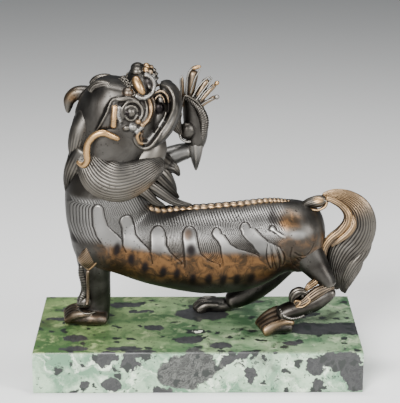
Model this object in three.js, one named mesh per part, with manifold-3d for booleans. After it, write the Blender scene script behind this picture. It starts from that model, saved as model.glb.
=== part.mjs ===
// A small cast bronze lion of the temple-guardian kind, standing on three legs on a slab of green marble.
// Millimetres. +X runs from the chest to the tail, +Y is the lion's far side, +Z is up.
// The origin is the middle of the slab's underside.
import * as THREE from "three";
import { LoftGeometry } from "three/addons/geometries/LoftGeometry.js";
import { mergeVertices } from "three/addons/utils/BufferGeometryUtils.js";
import Module from "manifold-3d";

const wasm = await Module();
wasm.setup();

// Driving dimensions of the slab.
const SLAB = { length: 152, depth: 76, height: 20, edge: 0.6 };

// The gap of bedding between the bronze feet and the stone.
const BEDDING = 0.3;

// Every guide below holds rows of [x, y, z, half size across the guide, half size towards the viewer],
// with z measured up from the slab's top.

// The barrel of the body, from the breast to the rump.
const TRUNK = [
  [-57, 0, 47, 12, 10],
  [-45, 0, 46, 16, 16],
  [-33, 0, 42.4, 17, 17.4],
  [-20, 0, 38.6, 18, 18],
  [-6, 0, 37.4, 20.2, 18.4],
  [8, 0, 37, 21.2, 18.6],
  [22, 0, 38.8, 20.8, 17.8],
  [33, 0, 42.4, 18.4, 15.6],
  [43, 0, 44.6, 15.4, 14.4],
  [53, 0, 44.8, 12.6, 12.8],
  [60.5, 0, 44.6, 8, 9],
];

// The neck, rising from the breast to the back of the head.
const NECK = [
  [-47, 0, 28, 8, 9],
  [-45.5, 0, 37, 13.6, 14.5],
  [-43.2, 0, 48, 18.2, 17.2],
  [-42.2, 0, 60, 20, 17.6],
  [-42.4, 0, 72, 19.2, 17],
  [-40.6, 0, 84, 17.4, 16],
  [-38.6, 0, 95, 18.2, 16.4],
  [-37, 0, 106, 16, 15.5],
];

// The plaited ridge of hair along the back, and how many plaits it has.
const BACK = [
  [-38, 1, 61, 3.4, 3.4],
  [-31, 0, 58.8, 3.2, 3.2],
  [-16, 0, 56.2, 2.8, 2.8],
  [0, 0, 57, 2.4, 2.4],
  [18, 0, 58.8, 2.1, 2.1],
  [33, 0, 60.6, 1.8, 1.8],
  [42, 0, 60, 1.7, 1.7],
  [50, 0, 57.2, 1.2, 1.2],
];
const PLAITS = 12;

// Muscles that swell both sides of the body, as [x, z, half length, half height, rise].
const HAUNCH = [47, 45, 12, 15, 3.8];
const SHOULDER = [-47, 44, 12, 13, 1.6];

const NEAR = new THREE.Vector3(0, -1, 0);

// Slivers flatter than this, where two forms run into each other, are smoothed away.
const SLIVER = 0.15;

// Smooth curve through the chosen columns of a guide's rows.
function curve(rows, columns) {
  const points = rows.map((row) => new THREE.Vector3(...columns.map((c) => row[c] ?? 0)));
  return new THREE.CatmullRomCurve3(points, false, "catmullrom", 0.5);
}

// A body with closed ends along a guide. relief(t, angle, point) raises its skin in millimetres: t runs from
// 0 to 1 along the guide, and a quarter turn on from angle 0 looks the way that facing points.
function form(rows, { rings = 8, sides = 8, blunt = 0.16, facing = NEAR, square = 2, relief } = {}) {
  const path = curve(rows, [0, 1, 2]);
  const sizes = curve(rows, [3, 4]);
  const sections = [];
  for (let i = 0; i <= rings; i += 1) {
    const q = i / rings;
    const t = THREE.MathUtils.clamp(q - Math.sin(2 * Math.PI * q) / (4 * Math.PI), 0, 1);
    const shortfall = Math.max(0, 1 - Math.min(q, 1 - q) / blunt);
    const closing = Math.max(0.2, Math.sqrt(1 - shortfall * shortfall));
    const centre = path.getPoint(t);
    const size = sizes.getPoint(t);
    const along = path.getTangent(t);
    const outward = facing.clone().addScaledVector(along, -facing.dot(along)).normalize();
    const across = new THREE.Vector3().crossVectors(outward, along);
    const section = [];
    for (let j = 0; j < sides; j += 1) {
      const angle = (2 * Math.PI * j) / sides;
      const c = Math.cos(angle);
      const s = Math.sin(angle);
      const swell = (Math.abs(c) ** square + Math.abs(s) ** square) ** (-1 / square);
      const spoke = new THREE.Vector3().addScaledVector(across, c * swell * size.x * closing);
      spoke.addScaledVector(outward, s * swell * size.y * closing);
      const skin = spoke.clone().add(centre);
      const raised = relief ? relief(t, angle, skin) * closing : 0;
      section.push(skin.addScaledVector(spoke.normalize(), raised));
    }
    sections.push(section);
  }
  return solid(new LoftGeometry(sections, { capStart: true, capEnd: true }));
}

// A ball pulled out to the given half sizes, tipped by lean degrees in the lion's side view.
function egg([x, y, z], [a, b, c], lean = 0, sides = 6, rings = 4) {
  const ball = new THREE.SphereGeometry(1, sides, rings).rotateX(Math.PI / 2).scale(a, b, c);
  return solid(ball.rotateY(THREE.MathUtils.degToRad(lean)).translate(x, y, z));
}

function solid(geometry) {
  const shell = new THREE.BufferGeometry().copy(geometry);
  shell.deleteAttribute("normal");
  shell.deleteAttribute("uv");
  const merged = mergeVertices(shell);
  return new wasm.Manifold(
    new wasm.Mesh({
      numProp: 3,
      vertProperties: merged.attributes.position.array,
      triVerts: Uint32Array.from(merged.index.array),
    }),
  );
}

const join = (solids) => solids.reduce((whole, next) => whole.add(next));

// The same rows on the lion's far side.
const mirrored = (rows) => rows.map(([x, y, z, a, b]) => [x, -y, z, a, b]);

// Ridges that run along a form, count of them over its near face and as many over its far one.
const strands = (count, height) => (t, angle) => height * Math.cos(2 * count * angle);

// A muscle's rise at a point of the skin.
const swelling = ([x, z, length, height, rise], point) =>
  rise * Math.exp(-(((point.x - x) / length) ** 2) - ((point.z - z) / height) ** 2);

function body() {
  const plaited = (t, angle) => 0.5 * Math.cos(2 * Math.PI * PLAITS * t + angle);
  const muscles = (t, angle, point) => swelling(HAUNCH, point) + swelling(SHOULDER, point);
  return [
    form(TRUNK, { rings: 15, sides: 16, blunt: 0.1, square: 2.1, relief: muscles }),
    form(NECK, { rings: 8, sides: 14, blunt: 0.1, relief: muscles }),
    form(BACK, { rings: 2 * PLAITS, sides: 6, blunt: 0.05, relief: plaited }),
  ];
}

// The head is thrown back, with the nose up and the mouth open towards the tail.
function head() {
  const skull = form([
    [-41, 0, 84, 14, 13],
    [-39.4, 0, 93, 17.6, 15],
    [-37.4, 0, 101, 19.4, 16.2],
    [-36.4, 0, 109, 17.6, 15.4],
    [-35.6, 0, 115, 13, 13.6],
    [-34.6, 0, 119.6, 8, 11],
  ], { rings: 7, sides: 14, blunt: 0.24, square: 2.3 });
  const muzzle = form([
    [-32, 0, 98, 8, 14.4],
    [-29.6, 0, 106, 8.4, 13.6],
    [-28, 0, 113, 7.4, 11.4],
    [-27, 0, 119, 5.8, 8.6],
    [-26.6, 0, 125, 4, 6],
  ], { rings: 6, sides: 10, blunt: 0.2, square: 2.3 });
  const jaw = form([
    [-31, 0, 92.6, 3.4, 10],
    [-25.8, 0, 89.4, 3.4, 11],
    [-18.4, 0, 92.6, 3.6, 11.4],
    [-12.6, 0, 99.6, 3.4, 10.8],
    [-10, 0, 107.4, 3.2, 9.6],
    [-12, 0, 114, 3, 8],
    [-17.4, 0, 116.6, 2.2, 6],
  ], { rings: 9, sides: 8, blunt: 0.12 });
  const tongue = form([
    [-27, 0, 95, 5, 8],
    [-20.4, 0, 99, 6.4, 7.6],
    [-16.4, 0, 106, 5, 6.4],
    [-17.4, 0, 113, 2.6, 4.6],
  ], { rings: 5 });
  const lips = [-1, 1].map((side) => form([
    [-23, 9.2 * side, 112.8, 1.3, 1.5],
    [-21.6, 9.2 * side, 108, 1.3, 1.5],
    [-22, 11 * side, 104, 1.3, 1.5],
    [-24.6, 13.4 * side, 101, 1.4, 1.6],
    [-27.4, 14.2 * side, 96, 1.3, 1.5],
    [-25.4, 11.6 * side, 91.8, 1.2, 1.4],
  ], { rings: 7, sides: 5 }));
  const features = [-1, 1].flatMap((side) => [
    egg([-26.8, 9.4 * side, 118], [2.6, 2.6, 5], 24),
    egg([-21.6, 7 * side, 117.4], [2.2, 2.6, 4.8]),
    egg([-31.6, 11.6 * side, 115], [2.8, 3, 2.8]),
    egg([-30.2, 14 * side, 107.2], [3.8, 2.6, 4]),
  ]);
  const snout = [egg([-27, 0, 122.8], [4.4, 5.4, 3.8]), egg([-22.2, 0, 120.8], [3.2, 4.8, 3.6])];
  const ears = [-1, 1].map((side) => form([
    [-36.4, 14.2 * side, 113.4, 1.6, 1.6],
    [-38.4, 16.6 * side, 108.6, 3, 2],
    [-39.2, 17 * side, 103.6, 2.6, 1.8],
    [-43, 16.2 * side, 99.2, 1, 1.2],
  ], { rings: 5, sides: 6 }));
  const horn = form([
    [-45, 4, 109.6, 4.4, 4],
    [-51, 6, 111.2, 3.6, 4],
    [-56, 6, 111.4, 3.2, 3.6],
    [-59.2, 6, 108.6, 2.9, 3.2],
    [-60, 6, 104.8, 1.9, 2.4],
    [-60.2, 6, 101.8, 0.7, 1],
  ], { rings: 7, sides: 6, blunt: 0.12 });
  const curls = [];
  for (let row = 0; row < 3; row += 1) {
    for (let n = -1; n <= 1; n += 1) {
      curls.push(egg([6 * row - 45.6, 7 * n, 116.4 + 1.1 * row - 1.6 * n * n], [3.2, 3, 2.6]));
    }
  }
  return [skull, muzzle, jaw, tongue, ...lips, ...features, ...snout, ...ears, horn, ...curls];
}

// The combed ruff that hangs round the throat, and the pointed locks that lie on the back.
function mane() {
  const throat = form([
    [-36, 0, 72, 9, 12],
    [-28, 0, 78, 10, 11.5],
    [-22, 1, 86, 8, 10],
    [-20, 2, 93, 5, 7],
  ], { rings: 5, sides: 10 });
  const ruff = [
    [-54.6, -7, 87, 4, 3.4],
    [-52.6, -11.4, 80, 7.6, 4.6],
    [-45.6, -14, 75.8, 9.8, 5.2],
    [-37, -14.6, 75.4, 10.2, 5.6],
    [-29, -12.8, 76.4, 9.4, 5.2],
    [-22, -9, 79, 7, 4.6],
    [-16.4, -4, 82, 4, 3.6],
  ];
  const nearRuff = form(ruff, { rings: 9, sides: 20, blunt: 0.12, relief: strands(5, 0.5) });
  const farRuff = form(mirrored(ruff), { rings: 6, sides: 12, blunt: 0.12, relief: strands(3, 0.5) });
  const upperNape = [
    [-49, -6, 106, 5, 5],
    [-53.4, -8, 97, 5, 5],
    [-56, -8, 90, 3.8, 4],
    [-58.4, -6, 83.6, 0.8, 1],
  ];
  const lowerNape = [
    [-51, -10, 89, 5, 4],
    [-56, -9, 81, 4.8, 4],
    [-59.4, -6, 74, 3, 3],
    [-61.4, -3, 66.4, 0.6, 0.8],
  ];
  const nape = [upperNape, mirrored(upperNape), lowerNape, mirrored(lowerNape)]
    .map((rows) => form(rows, { rings: 5, sides: 8, blunt: 0.12, relief: strands(2, 0.3) }));
  const locks = [
    [[-31, -13, 73, 3, 2.4], [-25.4, -12.4, 69.4, 2.8, 2.4], [-19.6, -10, 63.6, 1.8, 1.8]],
    [[-28, -10, 75, 3, 3], [-20, -8.6, 69.6, 3, 2.8], [-10.4, -5, 62, 2, 2]],
    [[-24, -5, 78, 4, 3.4], [-18, -3, 72, 3.4, 3], [-12.6, 0, 66, 2.4, 2.2]],
    [[-20, 5, 82, 4.6, 4], [-15, 8, 76.6, 4.6, 4], [-10.6, 8, 74.2, 2.4, 2.4]],
    [[-24, 6, 76, 6, 5], [-17, 7, 71, 5, 4.6], [-12.4, 8, 65.6, 2.8, 2.6]],
  ];
  const tips = [[-15.2, -8, 61], [-2.4, -2, 59.4], [-8.6, 2, 61.8], [-8.4, 8, 70.8], [-10, 8, 61.8]];
  const pointed = locks.map((rows, n) => form([...rows, [...tips[n], 0.6, 0.7]],
    { rings: 4, sides: 5, blunt: 0.1 }));
  const whiskers = [-1, 1].map((side) => form([
    [-35.6, 15.4 * side, 94.6, 1.2, 1.3],
    [-38.6, 17 * side, 96.4, 1.5, 1.4],
    [-42.6, 18 * side, 98.2, 1.6, 1.5],
    [-46.6, 18 * side, 97, 1.6, 1.5],
    [-49.6, 17.6 * side, 93.4, 1.6, 1.5],
    [-50.4, 17.6 * side, 89.2, 1.6, 1.5],
    [-50.2, 17.4 * side, 85.4, 1.5, 1.4],
    [-52, 16.6 * side, 82.8, 1.4, 1.4],
    [-55.4, 14.6 * side, 84, 0.8, 0.8],
  ], { rings: 9, sides: 5, blunt: 0.08 }));
  return [throat, nearRuff, farRuff, ...nape, ...pointed, ...whiskers];
}

// A paw of long toes that lie side by side. at is the middle of the sole's back edge.
function paw({ at, heading, length, width, height, toes = 4 }) {
  const turn = new THREE.Matrix4().makeRotationZ(THREE.MathUtils.degToRad(heading));
  turn.setPosition(...at);
  const place = ([x, y, z, a, b]) => [...new THREE.Vector3(x, y, z).applyMatrix4(turn), a, b];
  const pieces = [
    form([
      [-0.08 * length, 0, 0.34 * height, 0.36 * height, 0.34 * width],
      [0.2 * length, 0, 0.43 * height, 0.47 * height, 0.44 * width],
      [0.5 * length, 0, 0.39 * height, 0.43 * height, 0.46 * width],
      [0.72 * length, 0, 0.28 * height, 0.32 * height, 0.4 * width],
    ].map(place), { rings: 4, sides: 8 }),
  ];
  const pitch = width / toes;
  for (let n = 0; n < toes; n += 1) {
    const off = n - (toes - 1) / 2;
    const reach = length * (1 - 0.035 * off ** 2);
    pieces.push(form([
      [0.3 * length, off * pitch, 0.62 * height, 0.2 * height, 0.46 * pitch],
      [0.62 * length, 1.06 * off * pitch, 0.56 * height, 0.3 * height, 0.5 * pitch],
      [0.82 * reach, 1.08 * off * pitch, 0.34 * height, 0.36 * height, 0.5 * pitch],
      [reach, 1.08 * off * pitch, 0.18 * height, 0.2 * height, 0.34 * pitch],
    ].map(place), { rings: 4, sides: 5, blunt: 0.2 }));
  }
  return pieces;
}

// Fine ticks across a fringe of hair.
const ticks = (count, height) => (t) => height * Math.cos(2 * Math.PI * count * t);

function foreleg() {
  const leg = form([
    [-48, -6, 40, 9, 8],
    [-48.6, -4, 32, 7.8, 7.4],
    [-48.8, -1, 22, 6.6, 6.6],
    [-49.2, 2, 12, 6.2, 6.2],
    [-49.6, 3.6, 5, 6.8, 6.6],
    [-49.6, 4, 0.6, 6, 6],
  ], { rings: 6, sides: 12, blunt: 0.08, relief: (t, angle) => 0.35 * Math.cos(6 * angle) });
  const diamond = form([
    [-50.2, -10.6, 43, 0.8, 1.2],
    [-50.8, -10.6, 36.6, 4.4, 2.4],
    [-50.6, -8.4, 29, 0.8, 1],
  ], { rings: 4, sides: 6, blunt: 0.1 });
  const fringe = form([
    [-54.4, -5.6, 30, 1.4, 1.6],
    [-55.2, -3, 20, 1.4, 1.6],
    [-55.2, -0.2, 12, 1.2, 1.4],
  ], { rings: 8, sides: 5, relief: ticks(4, 0.3) });
  const ankle = egg([-55, 1.6, 10.4], [2.8, 3.4, 2.6]);
  return [leg, diamond, fringe, ankle,
    ...paw({ at: [-45.6, 4.6, 0], heading: 180, length: 19, width: 13.4, height: 8.4 })];
}

// The lion lifts its far foreleg behind its jaw, with the toes fanned out.
function raisedLeg() {
  const upper = form([
    [-36, 10, 60, 10, 8],
    [-26, 12, 70, 8.4, 7],
    [-16, 14, 78.6, 5.6, 5.4],
    [-8, 15.4, 82.6, 4.4, 4.8],
    [-2, 16, 83.4, 3.8, 4.4],
  ], { rings: 7, sides: 9 });
  const lower = form([
    [-1.4, 16, 80, 2.6, 3],
    [-0.6, 16.4, 87, 5.4, 4.8],
    [-0.6, 17, 95, 5.8, 4.8],
    [-0.8, 17.4, 102, 5, 4.2],
    [-2, 17.2, 108, 4, 3.6],
  ], { rings: 6, sides: 12, relief: (t, angle) => 0.3 * Math.cos(6 * angle) });
  const fringe = form([
    [1, 17.4, 104.4, 1.6, 2],
    [4, 17.4, 99, 2, 2.2],
    [4.2, 17.2, 92, 1.8, 2],
    [2.4, 16.8, 86, 1, 1.2],
  ], { rings: 8, sides: 5, relief: ticks(4, 0.3) });
  const drop = form([
    [-1.4, 16.6, 86, 1.8, 2],
    [-1, 17, 79, 2.8, 2.6],
    [-1, 17, 71.6, 0.6, 0.7],
  ], { rings: 4, sides: 6, blunt: 0.1 });
  const tuft = form([
    [-10.4, 13.4, 100.6, 2.2, 2],
    [-9.4, 14, 95.6, 3.4, 2.6],
    [-6, 15.2, 89, 2.6, 2.4],
    [-3.6, 15.6, 85, 2.4, 2.4],
  ], { rings: 4, sides: 8, relief: strands(2, 0.25) });
  const spread = [
    { tip: [-7.8, 117], foot: [-5.8, 103], thick: 1.2, y: 15 },
    { tip: [-2.4, 120.2], foot: [-4, 105], thick: 2.5, y: 17.4 },
    { tip: [3.8, 117.4], foot: [-2, 105], thick: 2, y: 18.4 },
    { tip: [8.6, 112.8], foot: [0, 105], thick: 1.6, y: 18 },
    { tip: [9, 107.4], foot: [1, 104], thick: 1.6, y: 16.6 },
  ].map(({ tip: [x, z], foot: [fx, fz], thick, y }) => form([
    [fx, 16.6, fz, 1.1, 1.3],
    [(fx + x) / 2, (16.6 + y) / 2, (fz + z) / 2, 0.7 * thick + 0.3, thick],
    [x, y, z, thick, thick],
  ], { rings: 4, sides: 6, blunt: 0.24 }));
  return [upper, lower, fringe, drop, tuft, ...spread];
}

function hindLegs() {
  const shank = form([
    [46, -12.6, 36, 6.4, 4.6],
    [52.6, -13.4, 29.4, 4.6, 4.2],
    [60.6, -13, 22.2, 2.6, 3.2],
  ], { rings: 6 });
  const hock = form([
    [61.4, -12.8, 21.6, 2.2, 3],
    [55.6, -13, 18, 4, 3.8],
    [48.4, -13, 13.6, 4.4, 4],
    [41, -13, 9, 4, 4.6],
    [36, -13, 5.4, 3.6, 5],
  ], { rings: 8, sides: 9 });
  const leaves = [0, 1, 2].map((n) => {
    const x = 52 - 3 * n;
    const z = 19.4 - 1.6 * n;
    return form([
      [x, -14.6, z - 3, 2, 2],
      [x - 3, -14.2, z, 1.8, 1.6],
      [x - 4.2, -13.6, z + 3, 0.6, 0.7],
    ], { rings: 4, sides: 5 });
  });
  const farShank = form([
    [46, 12, 34, 9, 5],
    [39, 14, 24, 7.6, 5],
    [31, 15.2, 14.6, 6.4, 4.8],
    [22, 16.2, 8, 5.4, 4.8],
    [14, 16.8, 4.2, 3.8, 5],
  ], { rings: 7, sides: 9 });
  return [shank, hock, ...leaves, farShank,
    ...paw({ at: [42.6, -12.4, 0], heading: 186, length: 15.6, width: 11.6, height: 8.8 }),
    ...paw({ at: [16, 17.6, 0], heading: 180, length: 18.4, width: 12, height: 6.6 })];
}

// A brush of combed hair that arches over from the rump and falls to the slab's back, with a cord of
// twisted hair on its inner edge.
function tail() {
  const root = form([
    [48, 0, 58.4, 2.6, 3],
    [52.6, 0, 61, 3, 3.4],
    [57.2, 0, 62, 2.4, 3],
    [60.4, 0, 60.6, 1.8, 2.4],
    [57.6, 0, 57.4, 1.6, 2],
    [53.6, 0, 56.4, 1.4, 1.8],
  ], { rings: 8, sides: 6 });
  const plume = form([
    [59.4, 0, 61.8, 2, 2.6],
    [65, 0, 62.4, 3.4, 4],
    [71, 0, 60, 5.4, 5.2],
    [74.8, 0, 54, 7.2, 6],
    [74.8, 0, 47, 9, 6.6],
    [71.4, 0, 39.4, 10.4, 6.8],
    [69.4, 0, 31, 9.2, 6],
    [68.6, 0, 23.6, 6, 4.6],
    [68.8, 0, 15.8, 2.4, 2.8],
  ], { rings: 12, sides: 20, blunt: 0.08, relief: strands(5, 0.55) });
  const cord = form([
    [57.4, -2, 62.4, 1.4, 1.6],
    [63.4, -3, 61, 1.6, 1.8],
    [68.4, -4.6, 57, 1.7, 1.9],
    [68.8, -5.6, 52.2, 1.8, 2],
    [64.2, -6.6, 46.8, 1.9, 2],
    [59.6, -7, 40.6, 1.8, 2],
    [58.2, -7.8, 33.6, 1.7, 2],
    [57.8, -10, 27.8, 1.6, 1.8],
    [54.4, -13, 24.6, 1.7, 1.8],
    [50.6, -15, 22.2, 1.5, 1.6],
  ], { rings: 14, sides: 6, blunt: 0.06 });
  const inner = form([
    [70.6, -4.2, 57, 1.5, 1.8],
    [71.4, -6, 51, 1.5, 2],
    [66, -7.4, 45.6, 1.6, 2],
    [61.6, -7.4, 38.6, 1.5, 2],
    [60.4, -6.6, 29.4, 1.2, 1.6],
  ], { rings: 7, sides: 6, blunt: 0.08 });
  const tips = [
    [[78, 0, 44, 5, 4], [79, 0, 36, 3.6, 3.6], [77.6, 0, 29.6, 0.8, 1.2]],
    [[75, 0, 40, 5, 4.4], [76.2, 0, 32, 3.6, 3.6], [74.4, 0, 25.4, 0.8, 1.2]],
    [[72, -1, 32, 4, 4.4], [73.6, 0, 25, 2.8, 3.6], [71.4, 0, 18, 0.8, 1.2]],
  ].map((rows) => form(rows, { rings: 5, sides: 8, relief: strands(2, 0.3) }));
  return [root, plume, cord, inner, ...tips];
}

function slab() {
  const { length, depth, height, edge } = SLAB;
  const outline = new THREE.Shape();
  const [x, y] = [length / 2 - edge, depth / 2 - edge];
  outline.moveTo(-x, -y);
  outline.lineTo(x, -y);
  outline.lineTo(x, y);
  outline.lineTo(-x, y);
  const block = new THREE.ExtrudeGeometry(outline, {
    depth: height - 2 * edge,
    bevelThickness: edge,
    bevelSize: edge,
    bevelSegments: 2,
  });
  const marble = new THREE.MeshStandardMaterial({ color: 0x7d9a7a, roughness: 0.22, metalness: 0 });
  const mesh = new THREE.Mesh(block.translate(0, 0, edge), marble);
  mesh.name = "marble_base";
  return mesh;
}

// The whole lion as one casting, with its soles ground flat.
function lion() {
  const groups = [body(), head(), mane(), foreleg(), raisedLeg(), hindLegs(), tail()];
  const cast = join(groups.flat());
  const below = new THREE.BoxGeometry(SLAB.length, SLAB.depth, SLAB.height).translate(0, 0, -SLAB.height / 2);
  const { vertProperties, triVerts } = cast.subtract(solid(below)).simplify(SLIVER).getMesh();
  const geometry = new THREE.BufferGeometry();
  geometry.setAttribute("position", new THREE.BufferAttribute(vertProperties, 3));
  geometry.setIndex(new THREE.BufferAttribute(triVerts, 1));
  const bronze = new THREE.MeshStandardMaterial({ color: 0x4a3f36, roughness: 0.38, metalness: 1 });
  const mesh = new THREE.Mesh(geometry, bronze);
  mesh.name = "bronze_lion";
  mesh.position.z = SLAB.height + BEDDING;
  return mesh;
}

const model = new THREE.Group();
model.add(slab(), lion());
export default model;
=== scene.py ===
import math

import bmesh
import bpy
import numpy as np
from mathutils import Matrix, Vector
from mathutils.kdtree import KDTree


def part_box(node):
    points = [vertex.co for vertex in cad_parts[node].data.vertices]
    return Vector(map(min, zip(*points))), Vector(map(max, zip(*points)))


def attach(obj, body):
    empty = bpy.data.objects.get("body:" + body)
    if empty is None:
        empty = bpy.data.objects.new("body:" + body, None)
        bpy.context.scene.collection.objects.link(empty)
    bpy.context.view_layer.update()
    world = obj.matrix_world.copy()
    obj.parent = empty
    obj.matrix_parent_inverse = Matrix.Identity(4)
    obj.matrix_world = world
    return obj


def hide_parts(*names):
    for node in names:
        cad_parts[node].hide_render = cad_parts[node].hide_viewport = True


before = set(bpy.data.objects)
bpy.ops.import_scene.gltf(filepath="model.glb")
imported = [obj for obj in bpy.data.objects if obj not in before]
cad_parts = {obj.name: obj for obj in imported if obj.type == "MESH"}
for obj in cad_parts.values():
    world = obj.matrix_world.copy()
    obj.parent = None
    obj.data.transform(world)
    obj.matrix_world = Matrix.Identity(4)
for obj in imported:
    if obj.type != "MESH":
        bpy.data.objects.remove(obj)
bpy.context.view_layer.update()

# A small cast bronze lion of the temple-guardian kind, on three legs on a slab of green marble.
# Its guides are in millimetres above the slab's top: x from breast to tail, y to the far side, z up.
MM = 0.001
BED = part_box("bronze_lion")[0].z
BODY = "root"
MARBLE_SLOT = "green_marble"
NEAR = np.array([0.0, -1.0, 0.0])
SIDES = (-1, 1)

# Guide rows hold x, y, z, half size across the guide and half size towards the viewer.
TRUNK = [
    (-57, 0, 47, 12, 10),
    (-45, 0, 46, 16, 16),
    (-33, 0, 42.4, 17, 17.4),
    (-20, 0, 38.6, 18, 18),
    (-6, 0, 37.4, 20.2, 18.4),
    (8, 0, 37, 21.2, 18.6),
    (22, 0, 38.8, 20.8, 17.8),
    (33, 0, 42.4, 18.4, 15.6),
    (43, 0, 44.6, 15.4, 14.4),
    (53, 0, 44.8, 12.6, 12.8),
    (60.5, 0, 44.6, 8, 9),
]
NECK = [
    (-47, 0, 28, 8, 9),
    (-45.5, 0, 37, 13.6, 14.5),
    (-43.2, 0, 48, 18.2, 17.2),
    (-42.2, 0, 60, 20, 17.6),
    (-42.4, 0, 72, 19.2, 17),
    (-40.6, 0, 84, 17.4, 16),
    (-38.6, 0, 95, 18.2, 16.4),
    (-37, 0, 106, 16, 15.5),
]
BACK = [
    (-38, 1, 61, 3.4, 3.4),
    (-31, 0, 58.8, 3.2, 3.2),
    (-16, 0, 56.2, 2.8, 2.8),
    (0, 0, 57, 2.4, 2.4),
    (18, 0, 58.8, 2.1, 2.1),
    (33, 0, 60.6, 1.8, 1.8),
    (42, 0, 60, 1.7, 1.7),
    (50, 0, 57.2, 1.2, 1.2),
]
PLAITS = 36
HAUNCH = (47, 45, 12, 15, 3.8)
SHOULDER = (-47, 44, 12, 13, 1.6)


# Skins: closed grids of points with faces and named marks.

class Skin:
    """Points in millimetres, faces of four corners (-1 ends a triangle), and marks on the points."""

    def __init__(self, points, faces, **marks):
        self.points = points
        self.faces = faces
        self.marks = marks

    def mark(self, name):
        return self.marks.get(name, np.zeros(len(self.points)))


def spline(rows, t):
    """Points and slopes of the smooth curve through evenly timed rows."""
    rows = np.asarray(rows, float)
    ends = np.vstack([2 * rows[0] - rows[1], rows, 2 * rows[-1] - rows[-2]])
    place = np.clip(t, 0, 1) * (len(rows) - 1)
    k = np.minimum(place.astype(int), len(rows) - 2)
    w = (place - k)[:, None]
    a, b, c, d = ends[k], ends[k + 1], ends[k + 2], ends[k + 3]
    linear = c - a
    square = 2 * a - 5 * b + 4 * c - d
    cubic = 3 * b - a - 3 * c + d
    point = b + 0.5 * w * (linear + w * (square + w * cubic))
    slope = 0.5 * (linear + 2 * w * square + 3 * w * w * cubic)
    return point, slope


def unit(vectors):
    return vectors / np.maximum(np.linalg.norm(vectors, axis=-1, keepdims=True), 1e-9)


def form(rows, cell=(0.8, 0.5), blunt=0.16, facing=NEAR, square=2.0, relief=None, **marks):
    """A closed body along a guide. relief(t, angle, points) raises its skin, and a mark may be one too."""
    rows = np.asarray([tuple(row) + (0,) * (5 - len(row)) for row in rows], float)
    warp = lambda q: np.clip(q - np.sin(2 * math.pi * q) / (4 * math.pi), 0, 1)
    probe = spline(rows, warp(np.linspace(0, 1, 80)))[0]
    length = np.linalg.norm(np.diff(probe[:, :3], axis=0), axis=1).sum()
    girth = 2 * math.pi * np.sqrt((probe[:, 3:] ** 2).sum(1) / 2).max()
    tip = max(4, round(1.2 * blunt * length / cell[0]))
    middle = max(3, round((1 - 2 * blunt) * length / cell[0]))
    turn = max(8, round(girth / cell[1]))
    bend = np.linspace(0, math.pi / 2, tip + 1)[1:]
    start = blunt * (1 - np.cos(bend))
    q = np.concatenate([start, np.linspace(blunt, 1 - blunt, middle + 1)[1:-1], 1 - start[::-1]])
    closing = np.sqrt(1 - np.clip(1 - np.minimum(q, 1 - q) / blunt, 0, 1) ** 2)
    t = warp(q)
    point, slope = spline(rows, t)
    centre, size, along = point[:, :3], point[:, 3:], unit(slope[:, :3])
    outward = unit(facing - along * (along @ facing)[:, None])
    across = np.cross(outward, along)
    angle = 2 * math.pi * np.arange(turn) / turn
    c, s = np.cos(angle), np.sin(angle)
    swell = (np.abs(c) ** square + np.abs(s) ** square) ** (-1 / square)
    half = size * closing[:, None]
    spoke = across[:, None] * (half[:, :1] * c * swell)[..., None]
    spoke = spoke + outward[:, None] * (half[:, 1:] * s * swell)[..., None]
    skin = centre[:, None] + spoke
    time, around = np.broadcast_arrays(t[:, None], angle[None])
    if relief is not None:
        skin = skin + unit(spoke) * (relief(time, around, skin) * closing[:, None])[..., None]
    ends = spline(rows, np.array([0.0, 1.0]))[0][:, :3]
    points = np.vstack([skin.reshape(-1, 3), ends])
    found = {}
    for name, value in marks.items():
        grid = value(time, around, skin) if callable(value) else np.full(time.shape, float(value))
        found[name] = np.concatenate([grid.ravel(), [grid[0].mean(), grid[-1].mean()]])
    return outfacing(Skin(points, grid_faces(len(t), turn), **found))


def grid_faces(rings, turn):
    """Faces of a ring grid that is closed round and capped at a pole point on each end."""
    ring = np.arange(rings - 1)[:, None] * turn
    side = np.arange(turn)[None]
    after = (side + 1) % turn
    walls = np.stack([ring + side, ring + after, ring + turn + after, ring + turn + side], -1).reshape(-1, 4)
    side, after = side[0], after[0]
    none = np.full(turn, -1)
    low = np.stack([after, side, np.full(turn, rings * turn), none], -1)
    last = (rings - 1) * turn
    high = np.stack([last + side, last + after, np.full(turn, rings * turn + 1), none], -1)
    return np.vstack([walls, low, high])


def triangles(faces):
    quads = faces[faces[:, 3] >= 0]
    rest = faces[faces[:, 3] < 0][:, :3]
    return np.vstack([quads[:, [0, 1, 2]], quads[:, [0, 2, 3]], rest])


def outfacing(skin):
    """The skin with its faces turned outwards."""
    a, b, c = (skin.points[triangles(skin.faces)[:, k]] for k in range(3))
    if np.einsum("ij,ij->i", a, np.cross(b, c)).sum() < 0:
        turned = skin.faces[:, [0, 3, 2, 1]]
        three = skin.faces[:, 3] < 0
        turned[three] = skin.faces[three][:, [0, 2, 1, 3]]
        skin.faces = turned
    return skin


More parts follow.
